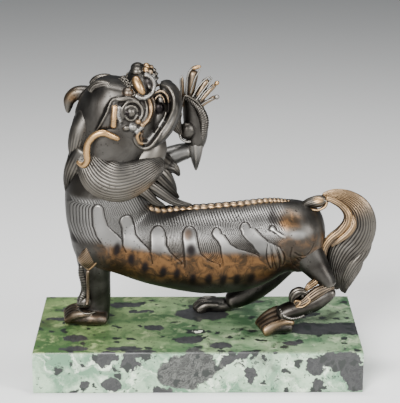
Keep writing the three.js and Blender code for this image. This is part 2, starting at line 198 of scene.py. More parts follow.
def egg(centre, sizes, lean=0.0, cell=0.5, relief=None, **marks):
    """A ball pulled out to the given half sizes, tipped by lean degrees in the lion's side view."""
    a, b, c = sizes
    rings = max(6, round(math.pi * max(a, c) / cell))
    turn = max(8, round(2 * math.pi * max(a, b) / cell))
    rise = (np.arange(rings) + 0.5) / rings * math.pi
    angle = 2 * math.pi * np.arange(turn) / turn
    grid = np.stack([
        np.sin(rise)[:, None] * np.cos(angle),
        np.sin(rise)[:, None] * np.sin(angle),
        np.broadcast_to(-np.cos(rise)[:, None], (rings, turn)),
    ], -1)
    points = np.vstack([grid.reshape(-1, 3), [[0, 0, -1], [0, 0, 1]]])
    if relief is not None:
        points = points * (1 + relief(points) / max(sizes))[:, None]
    points = points * sizes
    tip = math.radians(lean)
    x = points[:, 0] * math.cos(tip) + points[:, 2] * math.sin(tip)
    z = points[:, 2] * math.cos(tip) - points[:, 0] * math.sin(tip)
    points = np.stack([x, points[:, 1], z], -1) + centre
    found = {name: np.full(len(points), float(value)) for name, value in marks.items()}
    return outfacing(Skin(points, grid_faces(rings, turn), **found))


def joined(skins):
    """Several closed skins as one."""
    names = sorted({name for skin in skins for name in skin.marks})
    faces, first = [], 0
    for skin in skins:
        faces.append(np.where(skin.faces >= 0, skin.faces + first, -1))
        first += len(skin.points)
    marks = {name: np.concatenate([skin.mark(name) for skin in skins]) for name in names}
    return Skin(np.vstack([skin.points for skin in skins]), np.vstack(faces), **marks)


def mirrored(rows):
    """The same rows on the lion's far side."""
    return [(x, -y, *rest) for x, y, *rest in rows]


def both(build):
    """What build(side) gives for the near side and for the far one."""
    return [skin for side in SIDES for skin in build(side)]


def mesh_of(skin, name, scale=1.0):
    three = skin.faces[:, 3] < 0
    count = np.where(three, 3, 4)
    corners = skin.faces.ravel()
    corners = corners[corners >= 0]
    mesh = bpy.data.meshes.new(name)
    mesh.vertices.add(len(skin.points))
    mesh.vertices.foreach_set("co", (skin.points * scale).astype(np.float32).ravel())
    mesh.loops.add(len(corners))
    mesh.loops.foreach_set("vertex_index", corners.astype(np.int32))
    mesh.polygons.add(len(count))
    starts = np.concatenate([[0], np.cumsum(count)[:-1]])
    mesh.polygons.foreach_set("loop_start", starts.astype(np.int32))
    mesh.polygons.foreach_set("loop_total", count.astype(np.int32))
    mesh.update(calc_edges=True)
    return mesh


def skin_of(mesh):
    points = np.zeros(len(mesh.vertices) * 3, np.float32)
    mesh.vertices.foreach_get("co", points)
    count = np.zeros(len(mesh.polygons), np.int32)
    mesh.polygons.foreach_get("loop_total", count)
    start = np.zeros(len(mesh.polygons), np.int32)
    mesh.polygons.foreach_get("loop_start", start)
    corner = np.zeros(len(mesh.loops), np.int32)
    mesh.loops.foreach_get("vertex_index", corner)
    place = start[:, None] + np.minimum(np.arange(4)[None], count[:, None] - 1)
    faces = np.where(np.arange(4)[None] < count[:, None], corner[place], -1)
    return Skin(points.reshape(-1, 3).astype(float), faces.astype(int))


def fused(skins, grain, ease=0):
    """Overlapping skins as one skin of even squares, which takes the marks of what lies nearest."""
    source = joined(skins)
    whole = mesh_of(source, "clay")
    clay = bpy.data.objects.new("clay", whole)
    bpy.context.scene.collection.objects.link(clay)
    remesh = clay.modifiers.new("fuse", "REMESH")
    remesh.mode = "VOXEL"
    remesh.voxel_size = grain
    remesh.adaptivity = 0
    done = clay.evaluated_get(bpy.context.evaluated_depsgraph_get()).to_mesh()
    skin = outfacing(skin_of(done))
    bpy.data.objects.remove(clay)
    bpy.data.meshes.remove(whole)
    skin.marks = carried(source, skin.points)
    skin.points = eased(skin.points, skin.faces, ease)
    return skin


def carried(source, points):
    """The source's marks at the points that lie nearest."""
    if not source.marks:
        return {}
    tree = KDTree(len(source.points))
    for index, point in enumerate(source.points):
        tree.insert(point, index)
    tree.balance()
    nearest = np.array([tree.find(point)[1] for point in points])
    return {name: values[nearest] for name, values in source.marks.items()}


def refined(skin, chosen):
    """The skin with the faces whose points are chosen cut into quarters."""
    mesh = mesh_of(skin, "clay")
    work = bmesh.new()
    work.from_mesh(mesh)
    work.verts.ensure_lookup_table()
    edges = [e for e in work.edges if chosen[e.verts[0].index] and chosen[e.verts[1].index]]
    bmesh.ops.subdivide_edges(work, edges=edges, cuts=1, use_grid_fill=True)
    wide = [f for f in work.faces if len(f.verts) > 4]
    bmesh.ops.triangulate(work, faces=wide)
    work.to_mesh(mesh)
    work.free()
    skin = skin_of(mesh)
    bpy.data.meshes.remove(mesh)
    return skin


def edges_of(faces):
    three = faces[:, 3] < 0
    last = np.where(three, faces[:, 0], faces[:, 3])
    pairs = np.vstack([
        faces[:, [0, 1]],
        faces[:, [1, 2]],
        np.stack([faces[:, 2], last], -1),
        faces[~three][:, [3, 0]],
    ])
    return np.unique(np.sort(pairs, 1), axis=0)


def averaged(values, edges, count):
    """The mean of each point's neighbours."""
    a, b = edges[:, 0], edges[:, 1]
    share = np.bincount(a, minlength=count) + np.bincount(b, minlength=count)
    total = [
        np.bincount(a, values[b, k], count) + np.bincount(b, values[a, k], count)
        for k in range(values.shape[1])
    ]
    return np.stack(total, -1) / np.maximum(share, 1)[:, None]


def eased(points, faces, times, pull=0.5):
    edges = edges_of(faces)
    for _ in range(times):
        points = points + pull * (averaged(points, edges, len(points)) - points)
    return points


def normals(points, faces):
    corner = triangles(faces)
    a, b, c = (points[corner[:, k]] for k in range(3))
    face = np.cross(b - a, c - a)
    total = np.zeros_like(points)
    for k in range(3):
        for axis in range(3):
            total[:, axis] += np.bincount(corner[:, k], face[:, axis], len(points))
    return unit(total)


def carved(skin, depth):
    """The skin raised along its normals by depth, an array in millimetres."""
    skin.points = skin.points + normals(skin.points, skin.faces) * depth[:, None]
    return skin


def piece(name, skin, material, ease=0):
    """A finished piece of the object, with the marks that its finish reads."""
    points = skin.points
    smooth = eased(points, skin.faces, 14)
    lie = np.einsum("ij,ij->i", smooth - points, normals(smooth, skin.faces))
    marks = dict(skin.marks, hollow=lie)
    marks.setdefault("rim", np.full(len(points), 9.0))
    placed = Skin(points + (0, 0, BED / MM), skin.faces)
    mesh = mesh_of(placed, name, MM)
    mesh.polygons.foreach_set("use_smooth", np.ones(len(mesh.polygons), bool))
    for key, values in marks.items():
        attribute = mesh.attributes.new(key, "FLOAT", "POINT")
        attribute.data.foreach_set("value", values.astype(np.float32))
    mesh.materials.append(material)
    made = bpy.data.objects.new(name, mesh)
    bpy.context.scene.collection.objects.link(made)
    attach(made, BODY)
    return made


def bump(x, centre, width):
    return np.exp(-(((x - centre) / width) ** 2))


def ramp(x, low, high):
    """A smooth step from 0 at low to 1 at high."""
    t = np.clip((x - low) / (high - low), 0, 1)
    return t * t * (3 - 2 * t)


def spot(x, z, centre, sizes, lean=0.0):
    """A soft round patch in the side view, 1 at its middle."""
    tip = math.radians(lean)
    u = (x - centre[0]) * math.cos(tip) + (z - centre[1]) * math.sin(tip)
    v = (z - centre[1]) * math.cos(tip) - (x - centre[0]) * math.sin(tip)
    return np.exp(-((u / sizes[0]) ** 2 + (v / sizes[1]) ** 2) ** 2)


# The body: a long barrel with a combed flank.

def swelling(muscle, points):
    x, z, length, height, rise = muscle
    return rise * bump(points[..., 0], x, length) * bump(points[..., 2], z, height)


def muscles(t, angle, points):
    return swelling(HAUNCH, points) + swelling(SHOULDER, points)


# Smooth islands part the combed hair of the flank into locks. Each has a round top, as x, z, with a
# half width, and then the x of its left and right sides at a few depths below the top. The locks end
# where two sides meet.
ISLANDS = [
    ((-45.9, 64.2), 2.9,
     [(6, -48.8), (10, -48.5), (15, -46.8), (22, -42)],
     [(6, -42.4), (10, -41.2), (15, -36.4), (17, -34.8)]),
    ((-32.8, 58.6), 3.1,
     [(6, -34.9), (10, -34.8), (14, -34.6), (20, -32)],
     [(5, -29.1), (9, -28.5), (12, -26.2), (15, -23.2), (17, -21.9)]),
    ((-18.4, 52.6), 3.6,
     [(5, -22), (8, -21.9), (11, -22), (16, -21)],
     [(5, -14.3), (8, -14.4), (11, -12.8), (14, -9.8), (16, -7.4)]),
    ((-3.8, 52.6), 3.5,
     [(5, -7.3), (8, -6.8), (12, -6.4), (18, -6)],
     [(5, 0), (9, 0.6), (12, 1.6), (15, 5), (17, 10.4)]),
    ((8.8, 52), 2.4,
     [(3.6, 7), (5.5, 8.9), (8, 10.3), (12, 10.8), (16, 11.6)],
     [(3, 12.8), (5, 14.2), (7, 15.3), (9, 18.4), (10, 21.6), (12, 27), (14, 30)]),
    ((22, 54.2), 2.6,
     [(3.4, 20), (5, 20.4), (7.4, 22.4), (9.4, 25), (12, 26.6), (14.2, 28.4)],
     [(2.6, 27), (5.6, 29.8), (8.6, 33), (9.6, 35.4), (12, 40)]),
    ((34.6, 53), 1.8, [(2.7, 34.9), (4.8, 37.6), (5.6, 40), (9, 42)], [(3, 38.6), (5, 42), (9, 44)]),
]
# The lowest point of each lock, from the breast to the haunch.
LOCK_ENDS = [40, 46.6, 41.6, 36, 34.6, 39.4, 46.6, 50]
# Dark ovals along the belly, as x, z.
DARK_OVALS = [
    (-37.3, 43), (-30.9, 37.9), (-24.5, 33.9), (-16.1, 31.5), (-9.6, 30.5),
    (-2.2, 27.8), (5.2, 27.9), (11.8, 27.1), (18.3, 27.4), (24.9, 27.4),
]
HAIR_PITCH = 1.3
# How far to the right a hair moves for each millimetre that it goes down.
SWEEP = 0.62


def spine_height(x):
    rows = np.array(BACK)
    return np.interp(x, rows[:, 0], rows[:, 2])


def lock_sides(z):
    """The x of each island's sides at heights z. Above its top both lie on one line up to the back."""
    lefts, rights = [], []
    for (x, top), half, left, right in ISLANDS:
        down = top - z
        stem = x + SWEEP * np.minimum(down, 0) * (1 - 0.3 * ramp(x, -50, -20) + 0.3 * ramp(x, 0, 20))
        round_off = np.sqrt(np.clip(1 - (1 - np.clip(down / half, 0, 1)) ** 2, 0, 1))
        for sides, rows, hand in ((lefts, left, -1), (rights, right, 1)):
            depths = [0, half] + [d for d, _ in rows]
            offs = [0, 0] + [at - x - hand * half for _, at in rows]
            fair = np.interp(down, depths, offs)
            sides.append(stem + hand * half * round_off + fair)
    return np.array(lefts), np.array(rights)


def flank(x, z):
    """The flank from the side: hair line number, share in an island, distance to its rim, hair ends."""
    lefts, rights = lock_sides(z)
    line = np.zeros(len(x))
    inside = np.zeros(len(x))
    rim = np.full(len(x), 9.0)
    first = 0
    count = len(ISLANDS)
    for n in range(count + 1):
        start = rights[n - 1] if n else lefts[0] - 12
        end = lefts[n] if n < count else rights[-1] + 10
        strands = 8 if n in (0, count) else round((ISLANDS[n][0][0] - ISLANDS[n - 1][0][0]) / HAIR_PITCH)
        room = np.maximum(end - start, 0.3)
        share = (x - start) / room
        here = (share >= 0) & (share < 1)
        line = np.where(here, first + share * strands, line)
        first += strands
    for n, ((_, top), half, _, _) in enumerate(ISLANDS):
        wide = rights[n] - lefts[n]
        gap = np.minimum(x - lefts[n], rights[n] - x)
        open_below = (z < top) & (gap > 0)
        inside = np.maximum(inside, np.where(open_below, ramp(gap, -0.1, 1.0), 0))
        slope = 1 + 0.8 * ramp(top - z, half, 0)
        near = np.abs(gap) / slope
        cap = np.hypot(x - (lefts[n] + rights[n]) / 2, z - top + half) - half
        near = np.where((top - z < half) & (top - z > -1), np.abs(cap), near)
        near = np.where(z > top + 1, 9, near)
        near = near + 9 * ramp(z, LOCK_ENDS[n + 1] - 0.5, LOCK_ENDS[n + 1] - 2)
        rim = np.minimum(rim, near)
    ends = np.interp(
        x,
        [-62, -42, -35.4, -22.4, -7, 11, 28.4, 40, 44],
        [44, 46, 46.4, 41.6, 36, 34.6, 39.4, 46.6, 50],
    )
    return line, inside, rim, ends


def body():
    skin = fused([
        form(TRUNK, cell=(0.9, 0.9), blunt=0.1, square=2.1, relief=muscles),
        form(NECK, cell=(0.9, 0.9), blunt=0.1, relief=muscles),
        *both(lambda side: [egg((47.6, 5 * side, 40), (12, 9.8, 12.6), cell=0.9)]),
    ], 0.74, ease=10)
    x, y, z = skin.points.T
    side = normals(skin.points, skin.faces)[:, 1]
    chosen = (side < -0.25) & (x > -58) & (x < 55) & (z > 32) & (z < 66)
    skin = refined(skin, chosen)
    skin.points = eased(skin.points, skin.faces, 2)
    x, y, z = skin.points.T
    side = np.abs(normals(skin.points, skin.faces)[:, 1])
    line, inside, rim, ends = flank(np.where(y > 0, x - 1.2, x), z)
    combed = (1 - ramp(z, 65.5, 67.5)) * ramp(side, 0.1, 0.34) * (1 - ramp(x, 38, 42)) * ramp(x, -61, -58)
    hair = combed * (1 - inside) * ramp(z, ends - 1, ends + 1)
    strand = 0.5 - 0.5 * np.cos(2 * math.pi * line)
    outline = combed * np.exp(-((rim / 0.4) ** 2))
    depth = -0.14 * hair * (1 - strand) - 0.26 * outline + 0.12 * inside * combed * ramp(z, 38, 46)
    depth = depth - leaf_folds(x, z, side) - haunch_scrolls(x, z, side)
    skin = carved(skin, depth)
    low = np.interp(x, [-60, -43, -31, -17, -8, 8, 22, 31, 40], [50, 45.5, 43.5, 41, 40, 41, 40.5, 38, 42])
    warm = (1 - ramp(z, low - 2, low + 2)) * ramp(z, 23, 29) * ramp(x, -50, -38) * (1 - ramp(x, 33, 42))
    warm = np.maximum(warm, 0.5 * ramp(x, 34, 40) * ramp(z, 26, 34) * (1 - ramp(z, 46, 50)))
    warm = np.maximum(warm, spot(x, z, (42, 55), (6, 3.6)))
    warm = np.maximum(warm, 0.7 * spot(x, z, (-4.4, 49), (2, 2.4)))
    dark = np.maximum(0.75 * spot(x, z, (-3.6, 49), (3, 3)), spot(x, z, (-3, 42.6), (2.6, 3.4)))
    dark = np.maximum(dark, 0.8 * spot(x, z, (34.8, 56), (2.2, 3.6)))
    dark = np.maximum(dark, 0.5 * spot(x, z, (-17.6, 45), (3, 3.4)))
    for px, pz in DARK_OVALS:
        dark = np.maximum(dark, spot(x, z, (px, pz), (1.8, 3.6), -10))
    # Painted highlight: the upper flank, the smooth islands and a spot on the hip get a light grey tint.
    silver = np.maximum(inside * ramp(z, 38, 44), 0.75 * ramp(z, 44, 50)) * combed
    silver = np.maximum(silver, spot(x, z, (46.4, 49), (3.4, 2)))
    rim = np.where(combed > 0.3, rim, 9.0)
    skin.marks = dict(line=line, hair=hair, rim=rim, silver=silver, warm=warm, dark=dark)
    return skin


# Pointed folds of skin in front of the haunch, as top and bottom x, z, sideways bend and half width.
LEAF_FOLDS = [
    ((33, 46), (35, 31), -0.8, 1.1),
    ((34.6, 45.4), (38, 29.6), 0.2, 1.2),
    ((36.6, 44.6), (39.2, 33), 1.2, 1.1),
]
# Lines cut into the hip, one curled inside the other, as x, z.
SCROLLS = [
    [(43.6, 43.4), (43, 38.6), (44.8, 33.4), (49, 30.8), (53.6, 32)],
    [(45.1, 40.7), (47.5, 38.9), (49.9, 38.7), (52.2, 40.6), (54, 44.4)],
    [(46.2, 37.3), (48.8, 34.3), (51.8, 33.5), (53.8, 37.2)],
    [(47.5, 37.8), (49.1, 36.3), (51, 36.7)],
]


def leaf_folds(x, z, side):
    """How deep the folds' outlines are, in millimetres."""
    deep = np.zeros(len(x))
    for top, bottom, bend, wide in LEAF_FOLDS:
        share = np.clip((top[1] - z) / (top[1] - bottom[1]), 0, 1)
        middle = top[0] + (bottom[0] - top[0]) * share + bend * np.sin(math.pi * share)
        half = wide * np.sin(math.pi * share) ** 0.7 + 0.05
        off = np.abs(x - middle)
        live = ramp(share, 0, 0.08) * (1 - ramp(share, 0.92, 1))
        outline = 0.36 * np.exp(-(((off - half) / 0.36) ** 2))
        deep = np.maximum(deep, live * outline) - 0.1 * live * np.exp(-((2 * off / half) ** 2))
    return deep * ramp(side, 0.3, 0.6)


def haunch_scrolls(x, z, side):
    """How deep the lines on the hip are, in millimetres."""
    gap = np.full(len(x), 9.0)
    for line in SCROLLS:
        for at in spline(line, np.linspace(0, 1, 30))[0]:
            gap = np.minimum(gap, np.hypot(x - at[0], z - at[1]))
    return 0.32 * np.exp(-((gap / 0.36) ** 2)) * ramp(side, 0.2, 0.45)


# Hair, in strands along a guide.

def hair(count, height, twist=0.0, wave=0.0, waves=1.0, fade=(0, 0)):
    """Relief of combed strands, count of them half of the way round. They begin over the span of fade."""
    def relief(t, angle, points):
        turn = angle / math.pi + twist * t + wave * np.sin(2 * math.pi * waves * t)
        strand = np.abs(np.sin(math.pi * count * turn)) ** 0.75 - 1
        return height * strand * (ramp(t, *fade) if fade[1] else 1)
    return relief


def notches(count, height, slant=0.0):
    """Relief of cuts across a guide."""
    def relief(t, angle, points):
        return height * (np.abs(np.sin(math.pi * (count * t + slant * np.cos(angle)))) ** 0.7 - 1)
    return relief


def ridge(points, thick, deep=None, **rest):
    rows = [(*point, thick, deep or thick) for point in points]
    return form(rows, cell=(0.35, 0.3), blunt=0.12, **rest)


def lock(rows, count=5, height=0.22, cell=(0.7, 0.3), blunt=0.1, **rest):
    return form(rows, cell=cell, blunt=blunt, relief=hair(count, height), **rest)


def curl(centre, size, turns=1.6, thick=0.34, facing=NEAR, hand=1, start=0.0, **marks):
    """A snail curl of hair that lies in the plane across facing."""
    facing = unit(np.asarray(facing, float))
    right = unit(np.cross((0, 0, 1.0), facing) + (1e-6, 0, 0))
    up = np.cross(facing, right)
    rows = []
    steps = int(8 * turns) + 1
    for n in range(steps):
        share = n / (steps - 1)
        angle = start + hand * 2 * math.pi * turns * share
        reach = size * (1 - 0.86 * share)
        place = np.asarray(centre) + reach * (math.cos(angle) * right + math.sin(angle) * up)
        place = place + facing * size * 0.5 * share
        wide = size * thick * (1 - 0.35 * share)
        rows.append((*place, wide, wide))
    return form(rows, cell=(0.55, 0.4), blunt=0.06, facing=facing, **marks)


def back_ridge():
    """The plaited ridge of hair along the back."""
    def plaited(t, angle, points):
        braid = 0.42 * np.abs(np.sin(math.pi * PLAITS * t + 0.9 * np.cos(angle))) ** 0.6 - 0.42
        return braid
    # Painted highlight: only the side of the ridge that faces the viewer is made golden.
    rub = lambda t, angle, points: 0.75 * ramp(np.sin(angle), 0.2, 0.9) * ramp(t, 0.05, 0.3)
    return form(BACK, cell=(0.36, 0.3), blunt=0.05, relief=plaited, gold=rub)


# The mane: a combed ruff round the throat, locks down the nape and on the back, and the whiskers.

RUFF = [
    (-51, -9, 89, 3, 3),
    (-49.6, -12, 83.6, 6.4, 4.2),
    (-44.6, -14.4, 77.4, 9.6, 5),
    (-37.4, -15, 74.4, 9.8, 5.6),
    (-29.6, -13.4, 75.6, 8.4, 5.2),
    (-22.4, -9.6, 78.6, 6.2, 4.6),
    (-16, -4, 81.6, 3.4, 3.4),
]
THROAT = [
    (-36, 0, 72, 9, 12),
    (-28, 0, 78, 10, 11.5),
    (-22, 1, 86, 8, 10),
    (-20, 2, 93, 5, 7),
]
UPPER_NAPE = [
    (-49, -6, 106, 5, 5),
    (-53.4, -8, 97, 5, 5),
    (-56, -8, 90, 3.8, 4),
    (-58.4, -6, 83.6, 0.8, 1),
]
LOWER_NAPE = [
    (-51, -10, 89, 5, 4),
    (-56, -9, 81, 4.8, 4),
    (-59.4, -6, 74, 3, 3),
    (-61.4, -3, 66.4, 0.6, 0.8),
]
LOCKS = [
    [(-31, -13, 73, 3, 2.4), (-25.4, -12.4, 69.4, 2.8, 2.4), (-19.6, -10, 63.6, 1.8, 1.8),
     (-15.2, -8, 61, 0.6, 0.7)],
    [(-28, -10, 75, 3, 3), (-20, -8.6, 69.6, 3, 2.8), (-10.4, -5, 62, 2, 2), (-2.4, -2, 59.4, 0.6, 0.7)],
    [(-24, -5, 78, 4, 3.4), (-18, -3, 72, 3.4, 3), (-12.6, 0, 66, 2.4, 2.2), (-8.6, 2, 61.8, 0.6, 0.7)],
    [(-20, 5, 82, 4.6, 4), (-15, 8, 76.6, 4.6, 4), (-10.6, 8, 74.2, 2.4, 2.4), (-8.4, 8, 70.8, 0.6, 0.7)],
    [(-24, 6, 76, 6, 5), (-17, 7, 71, 5, 4.6), (-12.4, 8, 65.6, 2.8, 2.6), (-10, 8, 61.8, 0.6, 0.7)],
]
WHISKER = [
    (-35.6, -15.4, 94.6, 1.2, 1.3),
    (-38.6, -17.0, 96.4, 1.5, 1.4),
    (-42.6, -18, 98.2, 1.6, 1.5),
    (-46.6, -18, 97, 1.6, 1.5),
    (-49.6, -17.6, 93.4, 1.6, 1.5),
    (-50.4, -17.6, 89.2, 1.6, 1.5),
    (-50.2, -17.4, 85.4, 1.5, 1.4),
    (-52, -16.6, 82.8, 1.4, 1.4),
    (-55.4, -14.6, 84, 0.8, 0.8),
]


def mane():
    warm = lambda t, angle, points: 0.5 * ramp(t, 0.55, 0.8) * ramp(-points[..., 2], -76, -68)
    near = form(RUFF, cell=(0.7, 0.21), blunt=0.12, relief=hair(19, 0.36, wave=0.006, waves=2.3), gold=warm)
    far = form(mirrored(RUFF), cell=(0.8, 0.34), blunt=0.12, relief=hair(12, 0.34, wave=0.012, waves=2))
    skins = [near, far]
    for rows in (UPPER_NAPE, mirrored(UPPER_NAPE)):
        combed = hair(9, 0.24, twist=0.25, fade=(0.3, 0.6))
        skins.append(form(rows, cell=(0.6, 0.26), blunt=0.12, relief=combed))
    for rows in (LOWER_NAPE, mirrored(LOWER_NAPE)):
        combed = hair(9, 0.24, twist=0.2, fade=(0.1, 0.3))
        skins.append(form(rows, cell=(0.6, 0.26), blunt=0.12, relief=combed))
    for rows in LOCKS:
        skins.append(lock(rows, count=5, height=0.3, cell=(0.6, 0.28)))
    skins.append(lock(mirrored(LOCKS[0]), count=5, height=0.3, cell=(0.8, 0.34)))
    for rows in (WHISKER, mirrored(WHISKER)):
        skins.append(form(rows, cell=(0.4, 0.4), blunt=0.08, relief=notches(34, 0.12, slant=0.8), gold=1))
    throat = form(THROAT, cell=(0.8, 0.6))
    return joined([throat, *skins])


# The tail: a brush of combed hair with a twisted cord on its inner edge.

PLUME = [
    (58.6, 0, 62, 2.2, 2.8),
    (64, 0, 63.4, 3, 3.8),
    (70.4, 0, 61.4, 4.6, 5),
    (75.4, 0, 56.4, 6.4, 6),
    (77, 0, 49.4, 7.6, 6.4),
    (74.2, 0, 42.6, 9, 6.6),
    (69.4, 0, 36.6, 8.6, 6.4),
    (66.4, 0, 29.6, 6, 5.6),
    (65.8, 0, 22.6, 4, 4.4),
    (66.8, 0, 16.6, 1.4, 2),
]
UNDER_LAYERS = [
    [(79, 1, 41, 4.2, 4), (77.6, 0.6, 36.4, 4.4, 4.8), (73.6, 0, 31.4, 4.8, 5.2),
     (70.4, 0, 25, 4, 4.4), (69.2, 0, 19, 2, 2.6), (69.6, 0, 15.2, 0.7, 1)],
    [(77, 1.4, 33, 2.6, 3), (76, 1, 28.4, 2.6, 3.6), (73.2, 0.6, 23.4, 2.6, 3.4),
     (70.8, 0.4, 18, 1.7, 2.4), (70.4, 0.4, 14.6, 0.6, 0.8)],
]
CORD = [
    (59.6, -2.5, 63.2, 1.2, 1.6),
    (63.7, -3.4, 62, 1.7, 1.9),
    (67.6, -4.4, 59.7, 1.9, 2.1),
    (70.2, -5.4, 56.2, 2.1, 2.3),
    (70, -6.2, 52.4, 2.2, 2.3),
    (66.8, -6.8, 48.2, 2.2, 2.3),
    (62.6, -7.2, 44.8, 2.1, 2.2),
    (59.9, -7.4, 41, 2, 2.2),
    (58.8, -7.6, 36.6, 1.9, 2.1),
    (58.6, -8, 32, 1.8, 2),
    (58.2, -9.6, 28, 1.7, 1.9),
    (55.5, -12.4, 25.4, 1.8, 1.8),
    (52.4, -14.4, 23.6, 1.7, 1.7),
    (50.4, -15.4, 21.6, 0.9, 1.1),
]
BRANCH = [
    (72, -4.6, 55.4, 1.2, 1.4),
    (72.8, -6, 51.2, 1.8, 2),
    (70.4, -6.8, 47.4, 2, 2),
    (66.4, -7.2, 44, 1.6, 1.8),
    (62.6, -7.4, 40.6, 0.5, 0.7),
]
TAIL_ROOT = [
    (48.4, -1, 58.4, 1, 1.4),
    (52, -1.4, 60.2, 2.2, 2.6),
    (56, -1.8, 61, 2.9, 3.2),
    (59.4, -1.8, 61.6, 2.4, 2.8),
    (61.4, -1.6, 62.4, 1, 1.4),
]
ROOT_RIM = [
    (49.8, -2.6, 59.2), (53, -3.6, 57.9), (56.4, -4.2, 57.6), (59.6, -4.2, 59.2), (60.6, -3.8, 61.6),
]


def tail():
    """The brush flows over and down in three layers, with a golden cord of hair along its inner edge."""
    top = lambda t, angle, points: 0.55 * (1 - ramp(t, 0.2, 0.42))
    combed = hair(17, 0.44, twist=-0.12, wave=0.012, waves=1.5)
    plume = form(PLUME, cell=(0.75, 0.22), blunt=0.06, relief=combed, gold=top)
    combed = hair(11, 0.4, wave=0.01, waves=1.5)
    under = [form(rows, cell=(0.7, 0.26), blunt=0.08, relief=combed) for rows in UNDER_LAYERS]
    twisted = hair(5, 0.3, twist=0.3, wave=0.03, waves=3)
    cord = form(CORD, cell=(0.5, 0.2), blunt=0.05, relief=twisted, gold=0.75)
    branch = form(BRANCH, cell=(0.5, 0.22), blunt=0.1, relief=hair(5, 0.26), gold=0.6)
    spot_gold = lambda t, angle, points: spot(points[..., 0], points[..., 2], (56.6, 62.4), (2, 1.2))
    root = form(TAIL_ROOT, cell=(0.5, 0.24), blunt=0.2, relief=hair(7, 0.16, twist=0.3), gold=spot_gold)
    rim = ridge(ROOT_RIM, 0.7, 0.9, gold=0.6)
    return joined([plume, *under, cord, branch, root, rim])


# The legs.

def paw(at, heading, length, width, height, toes=4, gold=0.0):
    """Long toes side by side. at is the middle of the sole's back edge."""
    turn = math.radians(heading)
    c, s = math.cos(turn), math.sin(turn)

    def place(rows):
        return [(at[0] + c * x - s * y, at[1] + s * x + c * y, at[2] + z, a, b) for x, y, z, a, b in rows]

    skins = [form(place([
        (-0.08 * length, 0, 0.34 * height, 0.36 * height, 0.34 * width),
        (0.2 * length, 0, 0.43 * height, 0.47 * height, 0.44 * width),
        (0.5 * length, 0, 0.39 * height, 0.43 * height, 0.46 * width),
        (0.72 * length, 0, 0.28 * height, 0.32 * height, 0.4 * width),
    ]), cell=(0.5, 0.5), gold=0)]
    pitch = width / toes
    for n in range(toes):
        off = n - (toes - 1) / 2
        reach = length * (1 - 0.035 * off ** 2)
        skins.append(form(place([
            (0.3 * length, off * pitch, 0.62 * height, 0.2 * height, 0.46 * pitch),
            (0.62 * length, 1.06 * off * pitch, 0.56 * height, 0.3 * height, 0.5 * pitch),
            (0.82 * reach, 1.08 * off * pitch, 0.34 * height, 0.36 * height, 0.5 * pitch),
            (reach, 1.08 * off * pitch, 0.18 * height, 0.2 * height, 0.34 * pitch),
        ]), cell=(0.4, 0.3), blunt=0.2, gold=gold))
    return skins


def toes(first, last, count, gold):
    """Toes side by side between the guides of the first and the last."""
    first, last = np.array(first), np.array(last)
    guides = [first + (last - first) * n / (count - 1) for n in range(count)]
    return [form(rows, cell=(0.4, 0.3), blunt=0.16, gold=gold) for rows in guides]


FORELEG = [
    (-48.4, -6, 42, 9.8, 8),
    (-48.6, -5, 34, 8.4, 7.6),
    (-48.4, -3, 26, 7.2, 6.8),
    (-48, -1, 18.4, 6.6, 6.4),
    (-48.4, 1, 12.4, 6.8, 6.6),
    (-48.8, 2, 6, 6.6, 6.6),
    (-49, 2.6, 0.6, 6.4, 6.4),
]
FORE_SOLE = [
    (-43.4, 0, 3, 3, 6),
    (-49, -1, 4.2, 4.2, 7.6),
    (-55.4, -0.6, 4, 3.9, 7),
    (-60.6, 0.4, 2.6, 2.4, 5.6),
]
FORE_TOES = [
    [(-50, -6, 6.2, 1.8, 1.8), (-54.6, -6.2, 6.6, 2.1, 2), (-58.6, -5.4, 5.6, 2.4, 2.1),
     (-61.6, -4.4, 3.4, 2.3, 2), (-63.4, -3.8, 2.6, 1.5, 1.5)],
    [(-51.5, 4, 6.2, 1.8, 1.8), (-56, 4.2, 6.6, 2.1, 2), (-60, 4.6, 5.6, 2.4, 2.1),
     (-62.8, 5, 3.4, 2.3, 2), (-64.2, 5.2, 2.6, 1.5, 1.5)],
]
# The lozenge of hair at the elbow, its two edges, and the fringe and strip that run down from it.
LOZENGE = [
    (-51, -14.4, 44, 0.5, 0.8),
    (-51.4, -13.8, 40.6, 2.4, 2.2),
    (-51.4, -12.4, 36.4, 4.4, 2.8),
    (-51.2, -11.2, 33, 2.8, 2.2),
    (-51.1, -10.6, 30.4, 0.6, 0.9),
]
LOZENGE_FRONT = [
    (-50.8, -15.2, 43.6), (-53.6, -13.8, 39.6), (-55.6, -11.4, 36), (-53.6, -11.8, 33.2), (-51, -11.9, 31),
]
LOZENGE_BACK = [
    (-50.8, -15.2, 43.6), (-48.7, -15, 40), (-46.9, -13.8, 36.2), (-48.6, -12.8, 33.4), (-51, -11.9, 31),
]
FORE_FRINGE = [
    (-54.6, -9.8, 33, 1.2, 1.6),
    (-54.4, -8, 28, 1.9, 1.8),
    (-53.6, -7, 23, 1.9, 1.8),
    (-53.4, -5.6, 18.6, 2, 1.8),
    (-55, -6, 15, 1.6, 1.7),
    (-56, -5.8, 12.4, 0.9, 1),
]
FORE_STRIP = [
    (-51.3, -11.2, 30.6), (-51.7, -9.2, 25.2), (-51.7, -7.4, 20.2), (-52, -6.8, 15), (-52.6, -7.2, 11.6),
]
FORE_COLLAR = [(-57, -4.6, 9.2), (-54.4, -7.2, 7.8), (-51.2, -7.6, 7.6), (-48.6, -6.6, 8.2)]


